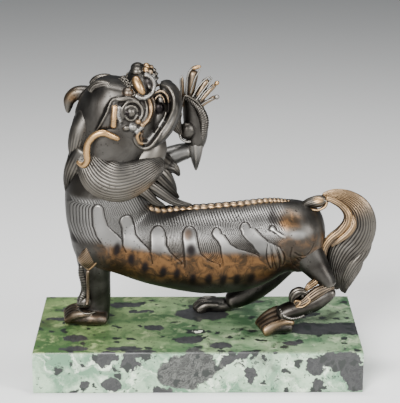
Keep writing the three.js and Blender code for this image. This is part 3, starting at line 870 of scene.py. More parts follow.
def foreleg():
    """The near foreleg, with a hatched lozenge, a rung fringe and a strip over the ankle."""
    hatch = lambda t, angle, points: 0.24 * (
        np.abs(np.sin(math.pi * (points[..., 0] - points[..., 2]) / 1.2)) ** 0.7 - 1)
    rungs = lambda p: 0.26 * (np.abs(np.sin(9 * p[:, 2])) ** 0.7 - 1) * ramp(-p[:, 0], -0.2, 0.3)
    mass = fused([
        form(FORELEG, cell=(0.5, 0.45), blunt=0.07),
        form(FORE_SOLE, cell=(0.5, 0.5), warm=0.4),
        *toes(*FORE_TOES, 4, gold=0.25),
    ], 0.36, ease=2)
    return joined([
        mass,
        egg((-53.8, -3.6, 12.4), (3.8, 3.8, 3.8), cell=0.35, relief=rungs),
        form(LOZENGE, cell=(0.26, 0.26), blunt=0.1, relief=hatch, gold=0.3, warm=0.3),
        ridge(LOZENGE_FRONT, 0.5, 0.8, gold=0.4),
        ridge(LOZENGE_BACK, 0.6, 0.9, gold=0.7),
        form(FORE_FRINGE, cell=(0.26, 0.26), blunt=0.06, relief=notches(19, 0.36)),
        form([(*at, 0.9, 1) for at in FORE_STRIP], cell=(0.3, 0.26), blunt=0.08,
            relief=notches(30, 0.14, slant=0.5), warm=0.4, gold=0.15),
        ridge(FORE_COLLAR, 0.6, 0.8),
    ])


HIND_SHANK = [
    (46, -6, 46, 10.5, 8.4),
    (51, -8, 38, 8.4, 7.2),
    (56, -9.6, 31, 6.2, 5.6),
    (60, -11, 26, 4.4, 4.6),
    (62.8, -12, 22, 3, 3.6),
]
HIND_FOOT = [
    (64.6, -12, 20.6, 2, 2.6),
    (60.4, -12.6, 18, 3.4, 3.6),
    (54.6, -13, 14.6, 4.2, 4.2),
    (48, -13, 12.2, 4.4, 4.6),
    (42.4, -13, 10.4, 4.2, 5),
    (38, -12.6, 8.4, 3.6, 5.2),
]
HIND_SOLE = [
    (45, -12.6, 3.4, 3, 5),
    (39, -13.4, 4, 3.8, 6),
    (33, -14.6, 3.2, 3, 5.6),
    (30, -15.4, 2.2, 1.8, 4),
]
HIND_TOES = [
    [(45.4, -15, 5.4, 1.7, 2), (41, -16.4, 6.2, 2.1, 2.2), (36, -17.8, 4.8, 2.6, 2.3),
     (32.2, -18.8, 3, 2.7, 2.3), (30.2, -19.2, 2.4, 1.8, 1.8)],
    [(41.4, -8.4, 9.6, 1.7, 2), (37.6, -9.6, 9.8, 2.1, 2.2), (33.2, -10.8, 7.6, 2.4, 2.2),
     (29.8, -11.8, 4.4, 2.5, 2.2), (28.2, -12.4, 2.6, 1.8, 1.8)],
]
# The hair of the hock sweeps forward over the foot to a leaf with a curled rim.
HOCK_HAIR = [
    (64.2, -11.8, 22.2, 1.2, 1.6),
    (61, -12.8, 22, 2.1, 2.4),
    (57, -14, 20.6, 3, 2.8),
    (53.2, -15, 18.2, 2.9, 2.6),
    (49.8, -15.8, 16, 2.2, 2.2),
    (46.8, -16.2, 15.2, 1.4, 1.5),
    (44.9, -16.2, 16.6, 0.6, 0.7),
]
HOCK_LEAF = [
    (44, -13.4, 15, 1.4, 2),
    (45.4, -13.8, 18.6, 2.8, 2.4),
    (47.8, -14, 20.4, 2.6, 2.4),
    (50.4, -14.4, 20, 1.6, 1.8),
    (52, -14.6, 18.4, 0.7, 0.9),
]
LEAF_CURL = [
    (45.2, -16.8, 16), (45.9, -17, 17.1), (47.9, -17, 16.7), (47.3, -17.4, 15.3), (45.9, -17, 14.2),
    (48.6, -17.4, 14.2), (50.9, -17.6, 15.6), (52.3, -17.4, 17.4), (51.2, -16.4, 19.5),
]
BEADS = [
    (38.7, -14.8, 12.1), (40.4, -17.6, 10), (43.4, -17.6, 8.5), (47.5, -16.2, 8.5), (50.1, -16, 9.6),
]


def near_hind_leg():
    """The near hind leg, with a long foot and the hair of the hock over it."""
    mass = fused([
        form(HIND_SHANK, cell=(0.6, 0.5), blunt=0.08),
        form(HIND_FOOT, cell=(0.5, 0.45)),
        form(HIND_SOLE, cell=(0.5, 0.5)),
        # Painted highlight: this knob gets a light grey tint.
        egg((52.2, -14.6, 11.8), (2.5, 2, 2.1), silver=1),
        *toes(*HIND_TOES, 4, gold=0.55),
    ], 0.36, ease=2)
    return [
        mass,
        form(HOCK_HAIR, cell=(0.45, 0.22), blunt=0.1, relief=hair(6, 0.34, twist=0.15, wave=0.02), gold=0.2),
        form(HOCK_LEAF, cell=(0.4, 0.24), blunt=0.16, relief=hair(4, 0.3)),
        ridge(LEAF_CURL, 0.5, 0.7, gold=0.7),
        egg((49, -16.2, 19), (0.9, 0.8, 0.9), dark=0.6),
        # Painted highlight: the beads get a faint light grey tint.
        form([(*at, 0.9, 1) for at in BEADS], cell=(0.26, 0.26), blunt=0.08,
            relief=notches(15, 0.4), silver=0.4),
    ]


FAR_SHANK = [
    (46, 12, 34, 9, 5),
    (39, 14, 24, 7.6, 5),
    (31, 15.2, 14.6, 6.4, 4.8),
    (22, 16.2, 8, 5.4, 4.8),
    (14, 16.8, 4.2, 3.8, 5),
]


def hind_legs():
    far = fused([
        form(FAR_SHANK, cell=(0.6, 0.5)),
        *paw((16, 17.6, 0), 180, 18.4, 12, 6.6),
    ], 0.45, ease=3)
    return joined([*near_hind_leg(), far])


UPPER_ARM = [
    (-36, 10, 60, 10, 8),
    (-26, 12, 69, 8.2, 7),
    (-16.6, 14, 76.8, 5.4, 5.4),
    (-9, 15, 80.2, 4.4, 4.8),
    (-3, 16, 81.4, 3.6, 4.2),
]
PALM = [
    (-1.4, 16, 80, 2.6, 3),
    (-0.6, 16.4, 87, 5.2, 4.6),
    (-0.8, 17, 95, 5.8, 4.6),
    (-2, 17.4, 102, 5, 4.2),
    (-3, 17.2, 108, 3.8, 3.4),
]
# Toes of the raised paw, as foot, tip and half width.
FINGERS = [
    ((-6, 16, 102), (-7.3, 15.6, 117.2), 1.0),
    ((-4, 16.6, 104), (-1.4, 17.4, 120), 2.5),
    ((-2, 16.6, 104), (5, 18, 115.4), 2.1),
    ((0, 16.4, 103.6), (8.6, 18, 113), 1.3),
    ((1, 16.2, 102.6), (8.6, 17, 107.2), 1.2),
]
FINGER_RIDGES = [
    [(-7.2, 14.6, 103.6), (-7.7, 14.4, 111), (-7.8, 14.4, 116), (-6.8, 14.8, 118)],
    [(-5.5, 14.4, 106), (-5.1, 14.6, 114), (-4, 15, 119), (-2.2, 15.4, 121.4)],
    [(-3.4, 14.4, 109), (-1.2, 14.8, 116), (1.4, 15.2, 120.6)],
    [(-2.6, 14.4, 107), (0.6, 15.2, 112.4), (4.2, 16, 116), (6.4, 16.4, 117)],
    [(-1, 14.6, 105.4), (2.4, 15.6, 110), (5.6, 16.2, 114.2), (6.9, 16.4, 116.4)],
    [(0.6, 14.8, 105.8), (3.9, 16, 110), (7.3, 16.6, 112.4)],
    [(1.6, 15, 103.6), (5, 15.8, 105.6), (8, 16, 106.6)],
]
FRINGE = [
    (-6.2, 14.4, 108, 0.8, 1.2),
    (-2.2, 14.2, 105.2, 1.6, 1.8),
    (1.2, 14, 101.4, 2.3, 2.2),
    (3, 14, 96.4, 2.6, 2.4),
    (2.8, 14, 91, 2.1, 2.2),
    (1.8, 14.4, 85.2, 0.9, 1.2),
]
CRESCENT = [(-8.6, 11.8, 91), (-7.6, 10.8, 88.4), (-5.2, 10.2, 87), (-3, 10.4, 87)]
RIM = [
    (-8, 13, 100.6), (-7, 12.8, 105.4), (-5.8, 13, 108.4), (-3, 12.8, 107.6), (0.2, 12.6, 105.4),
    (2.8, 12.6, 102),
]
DROP = [
    (-0.9, 14.8, 87.4, 3, 1.6),
    (-0.8, 14.2, 83.4, 3.5, 2),
    (-0.7, 14.4, 78, 2.5, 1.8),
    (-0.6, 15, 71.6, 0.5, 0.6),
]
TUFT = [
    (-8, 12.8, 101, 1.4, 1.6), (-10, 12.2, 97.6, 2.5, 2.2), (-9.6, 12, 93.8, 2.6, 2.2),
    (-7, 12, 90.2, 1, 1.2),
]


def raised_leg():
    toes = []
    for foot, tip, wide in FINGERS:
        middle = np.add(foot, tip) / 2
        rows = [(*foot, 1.2, 1.2), (*middle, 0.8 * wide, 0.9 * wide), (*tip, wide, 0.9 * wide)]
        toes.append(form(rows, cell=(0.4, 0.35), blunt=0.24, gold=0.3))
    # Painted highlight: the upper arm, toe ridges, one toe tip, the drop and the crescent get a light grey
    # tint.
    whole = fused([
        form(UPPER_ARM, cell=(0.6, 0.5), silver=0.5, gold=0),
        form(PALM, cell=(0.5, 0.35), gold=0, silver=0),
        egg((-4.8, 13, 91.6), (4, 3, 4.2), relief=lambda p: 0.12 * np.cos(26 * np.arctan2(p[:, 2], p[:, 0]))),
        *toes,
    ], 0.36, ease=1)
    ridges = [ridge(points, 0.42, 0.6, silver=0.8) for points in FINGER_RIDGES]
    tips = [
        egg((9.2, 16.4, 113.8), (1.3, 1.3, 1.1), -40, gold=0.9),
        egg((9.2, 16, 107.2), (1.3, 1.2, 1.2), silver=1),
        egg((-0.6, 16, 121.4), (2.6, 1.4, 1), -14, gold=0.8),
    ]
    fringe = form(FRINGE, cell=(0.26, 0.26), blunt=0.1, relief=notches(26, 0.4, slant=0.6))
    crest = lambda t, angle, points: 0.3 * bump(angle, math.pi / 2, 0.25)
    drop = form(DROP, cell=(0.5, 0.3), blunt=0.12, relief=crest, silver=0.6)
    tuft = lock(TUFT, count=8, height=0.25, cell=(0.5, 0.22))
    edges = [ridge(CRESCENT, 0.6, 0.7, silver=1), ridge(RIM, 0.5, 0.7)]
    return joined([whole, *ridges, *tips, fringe, drop, tuft, *edges])


# The head, thrown back, with the nose up and the mouth open towards the tail.

# The near side of the face, as points, half width and how far each ridge stands out.
UPPER_LID = [
    (-33.2, -15.6, 106.4), (-32.3, -15.6, 109), (-30.3, -15.2, 110), (-28.2, -14.6, 109.3),
    (-26.9, -14.2, 107),
]
LOWER_LID = [(-33.1, -15.8, 106), (-31.2, -16.1, 103.9), (-28.8, -15.5, 103.9), (-26.9, -14.5, 106.2)]
SOCKET = [
    (-33.8, -16.1, 104.2), (-34, -15.9, 108.3), (-32.5, -15.2, 111), (-30.1, -14.5, 112),
    (-27.2, -13.6, 111.1), (-25.3, -13.3, 108.5), (-25.1, -13.8, 105.7), (-26.4, -14.6, 103.5),
]
BACK_FOLD = [(-35.2, -15.4, 110.4), (-35.8, -16.2, 106.5), (-35, -16.5, 102.4)]
FRONT_FOLD = [(-34.2, -15.4, 110), (-34.8, -16, 106.5), (-34, -16.2, 102.8)]
BROW = [
    (-36.8, -14.8, 113.1), (-34.1, -15, 113.1), (-31.4, -14.2, 113.4), (-28.8, -13.2, 112.6),
    (-26.3, -12.6, 111),
]
EAR = [
    (-36.6, -14.8, 113), (-38.8, -15.4, 109), (-40.2, -16, 105), (-42.4, -15.8, 101.6),
    (-45, -14.8, 98.6),
]
EAR_RIM = [
    (-35.9, -15, 113.4), (-38.4, -15.4, 113), (-39.7, -15.9, 110.9),
    (-40.8, -16.5, 107.8), (-42.7, -16.8, 104.2), (-45, -16.2, 100.1), (-46.4, -15.2, 98),
]
EAR_LOBE = [(-37.4, -15.8, 110.6), (-37.7, -16.6, 107.4), (-37.9, -17, 104.2), (-38.2, -16.8, 100.2)]
LIP_END = [(-28.4, -15, 97.4), (-26.4, -14.5, 98.9), (-24.4, -13.4, 100.4)]
OUTER_C = [(-26.2, -14.4, 98.2), (-27.5, -14.2, 95.8), (-26.7, -12.9, 92.8), (-25, -11.4, 91.6)]
INNER_C = [(-25.2, -13.6, 97.2), (-25.8, -13, 95.2), (-25.2, -12, 93.4)]
LOWER_LIP = [
    (-29, -14.4, 95.6), (-28, -12.8, 92), (-25.9, -11.1, 89.7), (-23.6, -11.2, 89.4), (-21.1, -11.4, 90.7),
    (-18.8, -11, 93.4), (-16.5, -9.8, 96.6), (-14.2, -9.2, 100), (-12.4, -9.2, 103.4), (-11, -9.1, 107.2),
    (-10.7, -8.8, 110.9), (-11.4, -8.1, 114.2), (-13.2, -6.8, 116.6), (-17, -3, 117.2),
]
INNER_LIP = [
    (-25.2, -11.9, 92.2), (-23.6, -10.8, 91.6), (-21.8, -10, 93),
    (-19.5, -8.6, 95.8), (-17.2, -8, 99.2), (-15.4, -7.4, 102.2), (-14.2, -7, 106),
]
LOWER_TEETH = [(-22.6, -10.6, 92.7), (-21, -9.8, 94.4), (-19.8, -9, 96)]
UPPER_TEETH = [(-17.8, -8.4, 98.6), (-16.5, -8, 100.6), (-15.5, -7.6, 102)]
UPPER_LIP = [
    (-23, -9.2, 112.8), (-21.9, -8.8, 110.6), (-21.3, -9.2, 108),
    (-21.5, -10.4, 105.6), (-22.7, -12, 103.1), (-24.4, -13.4, 101.4), (-26, -14.2, 100.4),
]
LIP_FOLD = [
    (-24.3, -10.8, 112.6), (-23.3, -10.8, 109.8), (-22.9, -11.4, 107.2), (-23.5, -12.6, 104.7),
    (-25.1, -13.8, 102.4),
]
FAR_FOLD = [
    (-20.6, -7.4, 112.6), (-19.7, -7.4, 109.4), (-19.7, -8.4, 106.4), (-20.9, -10.4, 103.4),
    (-22.6, -12, 101.4),
]
NOSE = [
    (-28.6, -8.2, 122, 1.5, 1.6), (-27.4, -9.8, 119.4, 2.2, 2), (-25.8, -10.8, 116.6, 1.9, 1.9),
    (-24, -10.4, 114.4, 0.9, 1),
]
NOSTRIL = [
    (-24.6, -7.4, 122.8), (-22, -7.4, 122.2), (-20.2, -7.4, 120.2), (-19.7, -7.6, 117.4),
    (-20.8, -8.4, 114.6), (-23.2, -9.9, 113), (-25.9, -11.4, 113), (-28.4, -11.8, 114.8),
]
OUTER_ARC = [
    (-21.4, -8, 109.6), (-20.8, -7.4, 112.4), (-18.8, -7.2, 114.6), (-16.2, -7, 115),
    (-14, -7.4, 113.4), (-13, -7.8, 109.6),
]
INNER_ARC = [
    (-19.6, -6.6, 108.8), (-19.2, -6, 111.4), (-17.6, -5.8, 112.9), (-15.8, -6, 112.2),
    (-14.8, -6.6, 109.4),
]
# The back fold, lip end, teeth and nostril rim carry a painted highlight as a light grey tint.
FACE_RIDGES = [
    (UPPER_LID, 0.62, 0.8, {}),
    (LOWER_LID, 0.5, 0.6, {}),
    (SOCKET, 0.7, 0.7, {}),
    (BACK_FOLD, 0.55, 0.8, {"silver": 1}),
    (FRONT_FOLD, 0.45, 0.7, {}),
    (BROW, 1.0, 1.1, {}),
    (EAR_RIM, 0.5, 0.9, {}),
    (EAR_LOBE, 1.3, 1.0, {"gold": 1}),
    (LIP_END, 0.9, 0.9, {"silver": 1}),
    (OUTER_C, 0.85, 1.0, {"gold": 0.9}),
    (INNER_C, 0.5, 0.7, {"warm": 0.7}),
    (LOWER_LIP, 0.9, 1.2, {}),
    (INNER_LIP, 0.6, 0.9, {}),
    (LOWER_TEETH, 0.8, 0.9, {"silver": 1}),
    (UPPER_TEETH, 0.8, 0.9, {"silver": 1}),
    (UPPER_LIP, 1.1, 1.2, {"gold": 0.5, "warm": 0.6}),
    (LIP_FOLD, 0.5, 0.7, {}),
    (FAR_FOLD, 0.55, 0.8, {"warm": 0.4}),
    (NOSTRIL, 0.95, 1.2, {"silver": 1}),
    (OUTER_ARC, 0.55, 0.8, {"gold": 0.3}),
    (INNER_ARC, 0.5, 0.7, {"gold": 0.3}),
]
# Lumps of the near side of the face, as middle, half sizes, lean and marks.
FACE_LUMPS = [
    ((-30.3, -14.4, 107), (2.5, 2.2, 2.5), 0, {}),
    ((-31.7, -16, 106.9), (0.9, 0.8, 1.2), 0, {"dark": 1}),
    # Painted highlight: this cheek lump gets a light grey tint.
    ((-29.4, -14.9, 100.2), (2.1, 1.7, 1.8), 20, {"silver": 1}),
    ((-32.4, -15.8, 100), (1.7, 1.2, 1.4), 0, {}),
    ((-27, -14.2, 102.6), (1.4, 1.6, 1.3), 0, {"gold": 0.6}),
    ((-31.6, -11.8, 115.2), (2.7, 2.7, 2.6), 0, {"warm": 0.35}),
    # Painted shade: a dark lump fills the hole inside the nostril ring.
    ((-22.4, -6, 118.2), (2.6, 2.2, 4), 0, {"dark": 0.8}),
    ((-22, -8, 117.2), (0.9, 0.9, 1.1), 0, {}),
    ((-27.6, -3.6, 123.8), (3.2, 4, 2.6), 0, {}),
    ((-23.4, -4.6, 124.4), (1.7, 2.4, 1.5), 30, {"gold": 0.9}),
    ((-21.2, -5.4, 123.8), (1.1, 1.6, 1), 30, {"gold": 0.4}),
    ((-19.8, -5.8, 122.2), (1, 1.6, 1), 50, {}),
    ((-19, -6, 120.4), (0.9, 1.6, 1), 70, {}),
    ((-18.8, -6.2, 118.4), (0.8, 1.6, 1), 90, {}),
    # Painted shade: a dark lump fills the gap of the open mouth.
    ((-17.6, -6, 106.8), (2.2, 1.4, 2.6), 0, {"dark": 1}),
]


def features(side):
    skins = [ridge(points if side < 0 else mirrored(points), thick, deep, **marks)
        for points, thick, deep, marks in FACE_RIDGES]
    for (x, y, z), sizes, lean, marks in FACE_LUMPS:
        skins.append(egg((x, -side * y, z), sizes, lean, **marks))
    nose = NOSE if side < 0 else mirrored(NOSE)
    ear = [(x, -side * y, z, 2.6 * h, 1.1) for (x, y, z), h in zip(EAR, (0.6, 1, 1.1, 1, 0.5))]
    skins.append(form(nose, cell=(0.4, 0.35), blunt=0.2, gold=1))
    skins.append(form(ear, cell=(0.35, 0.3), blunt=0.15, relief=notches(16, 0.16, slant=0.9)))
    return skins


SKULL = [
    (-41, 0, 84, 14, 13),
    (-39.4, 0, 93, 17.6, 15),
    (-37.4, 0, 101, 19.4, 16.2),
    (-36.4, 0, 109, 17.6, 15.4),
    (-35.6, 0, 115, 13, 13.6),
    (-34.6, 0, 119.6, 8, 11),
]
MUZZLE = [
    (-32, 0, 98, 8, 14.4),
    (-29.6, 0, 106, 8.4, 13.6),
    (-28, 0, 113, 7.4, 11.4),
    (-27, 0, 119, 5.8, 8.6),
    (-26.6, 0, 125, 4, 6),
]
JAW = [
    (-31, 0, 92.6, 3.4, 10),
    (-25.8, 0, 89.4, 3.4, 11),
    (-18.4, 0, 92.6, 3.6, 11.4),
    (-12.6, 0, 99.6, 3.4, 10.8),
    (-10, 0, 107.4, 3.2, 9.6),
    (-12, 0, 114, 3, 8),
    (-17.4, 0, 116.6, 2.2, 6),
]
TONGUE = [
    (-27, 0, 95, 5, 8),
    (-20.4, 0, 99, 6.4, 7.6),
    (-16.4, 0, 106, 5, 6.4),
    (-17.4, 0, 113, 2.6, 4.6),
]


def head_mass():
    return [
        form(SKULL, cell=(0.9, 0.9), blunt=0.24, square=2.3),
        form(MUZZLE, cell=(0.8, 0.8), blunt=0.2, square=2.3),
        form(JAW, cell=(0.7, 0.7), blunt=0.12),
        form(TONGUE, cell=(0.7, 0.7)),
    ]


CROWN_LOCK = [
    (-49, -6, 114.6, 2, 2.4),
    (-47, -6.4, 117, 2.4, 2.8),
    (-43.9, -7, 118, 2.4, 3),
    (-41, -8.4, 117.6, 2.2, 2.8),
    (-39.2, -10.6, 115.8, 1.6, 2),
]
HORN = [
    (-45, 4, 109.6, 4.4, 4),
    (-51, 6, 111.2, 3.6, 4),
    (-56, 6, 111.4, 3.2, 3.6),
    (-59.2, 6, 108.6, 2.9, 3.2),
    (-60, 6, 104.8, 1.9, 2.4),
    (-60.2, 6, 101.8, 0.7, 1),
]


def crown_curls():
    """Snail curls over the top of the head, larger and smaller by turns."""
    skins = []
    for row in range(6):
        for n in range(-5, 6):
            stray = math.sin(5.1 * n + 3.7 * row)
            x = -42 + 2.6 * row + 0.7 * stray
            y = 2.5 * n + 0.5 * math.cos(4.3 * n + 2.9 * row)
            rise = np.interp(x, [-42, -38, -34, -30], [118.4, 117.6, 120, 121.6])
            z = rise - 0.045 * y * y + 0.3 * stray
            size = 1.35 + 0.35 * math.sin(2.3 * n + 1.7 * row)
            hand = 1 if (n + row) % 2 else -1
            facing = (-0.25, 0.09 * y - 0.35, 1)
            skins.append(curl((x, y, z), size, facing=facing, hand=hand, start=1.9 * n + row))
    return skins


def head():
    lock_rows = (CROWN_LOCK, mirrored(CROWN_LOCK))
    fixed = [form(rows, cell=(0.5, 0.28), blunt=0.14, relief=hair(6, 0.22, twist=0.2)) for rows in lock_rows]
    orange = lambda t, angle, points: 0.8 * bump(t, 0.52, 0.1)
    rubbed = lambda t, angle, points: 0.3 * bump(t, 0.52, 0.14)
    horn = form(HORN, cell=(0.6, 0.5), blunt=0.12, square=2.4, warm=orange, gold=rubbed)
    whole = fused([*head_mass(), horn, *both(features)], 0.38, ease=1)
    return joined([whole, *fixed, *crown_curls()])


# Finishes.

class Recipe:
    """A node tree that is being filled: each call adds a node and feeds its sockets."""

    def __init__(self, tree):
        self.tree = tree
        self.count = 0

    def add(self, kind, sockets=None, **settings):
        made = self.tree.nodes.new(kind)
        made.location = (190 * (self.count % 10), -260 * (self.count // 10))
        self.count += 1
        for key, value in settings.items():
            setattr(made, key, value)
        for key, value in (sockets or {}).items():
            self.put(made.inputs[key], value)
        return made

    def put(self, socket, value):
        if isinstance(value, bpy.types.NodeSocket):
            self.tree.links.new(value, socket)
        else:
            socket.default_value = value

    def math(self, operation, *values, clamp=False):
        sockets = dict(enumerate(values))
        return self.add("ShaderNodeMath", sockets, operation=operation, use_clamp=clamp).outputs[0]

    def step(self, value, low, high, bottom=0.0, top=1.0):
        sockets = {"Value": value, "From Min": low, "From Max": high, "To Min": bottom, "To Max": top}
        return self.add("ShaderNodeMapRange", sockets, interpolation_type="SMOOTHSTEP").outputs[0]

    def mix(self, share, a, b, blend="MIX"):
        made = self.add("ShaderNodeMix", {0: share, 6: a, 7: b}, data_type="RGBA", blend_type=blend)
        return made.outputs[2]

    def mark(self, name):
        return self.add("ShaderNodeAttribute", attribute_name=name).outputs["Fac"]

    def noise(self, where, scale, detail=4.0, rough=0.55, twist=0.0):
        sockets = {"Vector": where, "Scale": scale, "Detail": detail, "Roughness": rough, "Distortion": twist}
        return self.add("ShaderNodeTexNoise", sockets).outputs["Fac"]

    def cells(self, where, scale, feature="F1", jitter=1.0):
        sockets = {"Vector": where, "Scale": scale, "Randomness": jitter}
        return self.add("ShaderNodeTexVoronoi", sockets, feature=feature)

    def place(self):
        return self.add("ShaderNodeTexCoord").outputs["Object"]

    def group(self, tree, sockets):
        return self.add("ShaderNodeGroup", sockets, node_tree=tree).outputs


def effect(name, inputs, outputs, fill):
    """A shader node group with named sockets, built once."""
    tree = bpy.data.node_groups.new(name, "ShaderNodeTree")
    for label, kind, value in inputs:
        socket = tree.interface.new_socket(name=label, in_out="INPUT", socket_type=kind)
        if value is not None:
            socket.default_value = value
    for label, kind in outputs:
        tree.interface.new_socket(name=label, in_out="OUTPUT", socket_type=kind)
    recipe = Recipe(tree)
    source = recipe.add("NodeGroupInput").outputs
    results = fill(recipe, source)
    sink = recipe.add("NodeGroupOutput").inputs
    for label, value in results.items():
        recipe.put(sink[label], value)
    return tree


NUMBER, COLOUR, VECTOR = "NodeSocketFloat", "NodeSocketColor", "NodeSocketVector"


def chasing_effect():
    """Fine lines cut with a chasing tool: a groove at each whole line number, and one along each rim."""
    def fill(r, given):
        share = r.math("FRACT", given["Line"])
        away = r.math("SUBTRACT", 0.5, r.math("ABSOLUTE", r.math("SUBTRACT", share, 0.5)))
        cut = r.math("MULTIPLY", r.step(away, 0.02, given["Width"], 1.0, 0.0), given["Hair"])
        rim = r.step(given["Rim"], 0.08, 0.42, 1.0, 0.0)
        groove = r.math("MAXIMUM", cut, rim)
        return {"Groove": groove}
    inputs = [("Line", NUMBER, 0.0), ("Hair", NUMBER, 0.0), ("Rim", NUMBER, 9.0), ("Width", NUMBER, 0.26)]
    return effect("chasing", inputs, [("Groove", NUMBER)], fill)


def wear_effect():
    """Where hands rub a casting bright and where its hollows keep their dirt."""
    def fill(r, given):
        uneven = r.noise(given["Place"], 260.0, 3.0)
        lie = r.math("ADD", given["Hollow"], r.math("MULTIPLY", r.math("SUBTRACT", uneven, 0.5), 0.05))
        dirt = r.step(lie, 0.0, given["Depth"])
        return {"Dirt": dirt, "Rub": r.step(lie, -0.02, r.math("MULTIPLY", given["Depth"], -1.1))}
    return effect("wear", [("Place", VECTOR, None), ("Hollow", NUMBER, 0.0), ("Depth", NUMBER, 0.16)],
        [("Dirt", NUMBER), ("Rub", NUMBER)], fill)


def patina_effect():
    """Cloudy tone, small dark pits and the faint grain of a casting's skin."""
    def fill(r, given):
        cloud = r.noise(given["Place"], 55.0, 5.0, 0.6, 0.6)
        pits = r.cells(given["Place"], 620.0).outputs["Distance"]
        pitted = r.noise(given["Place"], 120.0, 2.0)
        pit = r.math("MULTIPLY", r.step(pits, 0.16, 0.3, 1.0, 0.0), r.step(pitted, 0.5, 0.62))
        grain = r.noise(given["Place"], 1500.0, 3.0)
        blotch = r.noise(given["Place"], 170.0, 4.0, 0.65, 0.8)
        cloud = r.step(cloud, 0.34, 0.68)
        return {"Cloud": cloud, "Pit": pit, "Grain": grain, "Blotch": r.step(blotch, 0.38, 0.62)}
    outputs = [(name, NUMBER) for name in ("Cloud", "Pit", "Grain", "Blotch")]
    return effect("patina", [("Place", VECTOR, None)], outputs, fill)


def bronze():
    made = bpy.data.materials.new("patinated bronze")
    made.use_nodes = True
    r = Recipe(made.node_tree)
    place = r.place()
    gold, warm, dark, silver = (r.mark(name) for name in ("gold", "warm", "dark", "silver"))
    cut = r.group(chasing_effect(), {"Line": r.mark("line"), "Hair": r.mark("hair"), "Rim": r.mark("rim")})
    groove = cut["Groove"]
    wear = r.group(wear_effect(), {"Place": place, "Hollow": r.mark("hollow")})
    skin = r.group(patina_effect(), {"Place": place})
    tone = r.mix(skin["Cloud"], (0.028, 0.025, 0.022, 1), (0.072, 0.068, 0.062, 1))
    # Painted highlight: points that carry this mark are mixed towards light grey.
    tone = r.mix(r.math("MULTIPLY", silver, 0.7), tone, (0.24, 0.235, 0.225, 1))
    brown = r.mix(skin["Blotch"], (0.042, 0.028, 0.017, 1), (0.14, 0.074, 0.032, 1))
    tone = r.mix(warm, tone, brown)
    tone = r.mix(r.math("MULTIPLY", wear["Rub"], 0.32), tone, (0.24, 0.215, 0.18, 1))
    bright = r.math("MULTIPLY", gold, r.step(wear["Rub"], -0.4, 0.8))
    tone = r.mix(bright, tone, (0.38, 0.235, 0.11, 1))
    tone = r.mix(dark, tone, (0.014, 0.012, 0.012, 1))
    soil = r.math("MAXIMUM", r.math("MULTIPLY", wear["Dirt"], 0.85), r.math("MULTIPLY", groove, 0.9))
    soil = r.math("MAXIMUM", soil, r.math("MULTIPLY", skin["Pit"], 0.6))
    tone = r.mix(soil, tone, (0.012, 0.01, 0.009, 1))
    rough = r.math("ADD", r.math("MULTIPLY", soil, 0.3), r.math("MULTIPLY", skin["Cloud"], 0.1))
    rough = r.math("ADD", rough, 0.38)
    high = r.math("SUBTRACT", r.math("MULTIPLY", skin["Grain"], 0.08), groove)
    relief = r.add("ShaderNodeBump", {"Strength": 0.7, "Distance": 0.00012, "Height": high})
    shader = r.tree.nodes["Principled BSDF"]
    r.put(shader.inputs["Base Color"], tone)
    r.put(shader.inputs["Roughness"], rough)
    r.put(shader.inputs["Normal"], relief.outputs["Normal"])
    shader.inputs["Metallic"].default_value = 1.0
    return made


# Dark fragments in the marble, as x, y, z of the middle, half sizes along x, y, z, and lean in degrees.
DARK_STONES = [
    (-5, -38, 11, 15, 12, 9.5, 20),
    (-31, -38, 15.5, 5, 5, 4.4, 0),
    (-43, -38, 17, 6, 4, 3.4, 0),
    (-40, -38, 4, 5, 4, 3, 0),
    (-53, -38, 4, 3.6, 3, 2, 0),
    (14, -38, 16.5, 5.4, 4, 3, 30),
    (20, -38, 19, 5, 3, 2, 0),
    (24, -38, 9, 2.4, 3, 5, 0),
    (-17, -38, 0, 5, 3, 2.4, 0),
    (66, -38, 16, 10, 8, 4.4, 0),
    (54, -38, 14, 5, 5, 5, 0),
    (72, -38, 8, 8, 6, 6, -40),
    (55, -38, 4, 4, 3, 4, 0),
    (62, -8, 20, 26, 9, 5, 0),
    (44, -27, 20, 5, 3, 4, 0),
    (-4, -22, 20, 8, 5.4, 4, 0),
    (10, -29, 20, 6, 5, 4, 0),
    (-58, -20, 20, 6, 4.4, 5, 0),
    (-56, -33, 20, 8, 3.4, 4, 0),
    (-34, -33, 20, 9, 3, 4, 0),
    (-26, -37, 20, 8, 2.4, 3, 0),
    (-20, -6, 20, 6, 4, 4, 0),
    (2, 12, 20, 14, 9, 5, 0),
    (-28, 16, 20, 7, 2.6, 4, 0),
    (-36, 26, 20, 10, 4, 5, 0),
    (26, 30, 20, 8, 3, 5, 0),
    (52, 14, 20, 5, 8, 5, 0),
    (-60, 18, 20, 9, 5, 5, 0),
    (-66, 6, 20, 8, 2.4, 5, 0),
    (8, 38, 12, 12, 8, 7, 0),
    (-44, 38, 9, 9, 8, 6, 0),
    (52, 38, 11, 11, 6, 6, 0),
]
WHITE_SPECK = (-0.6, -11.4, 20)


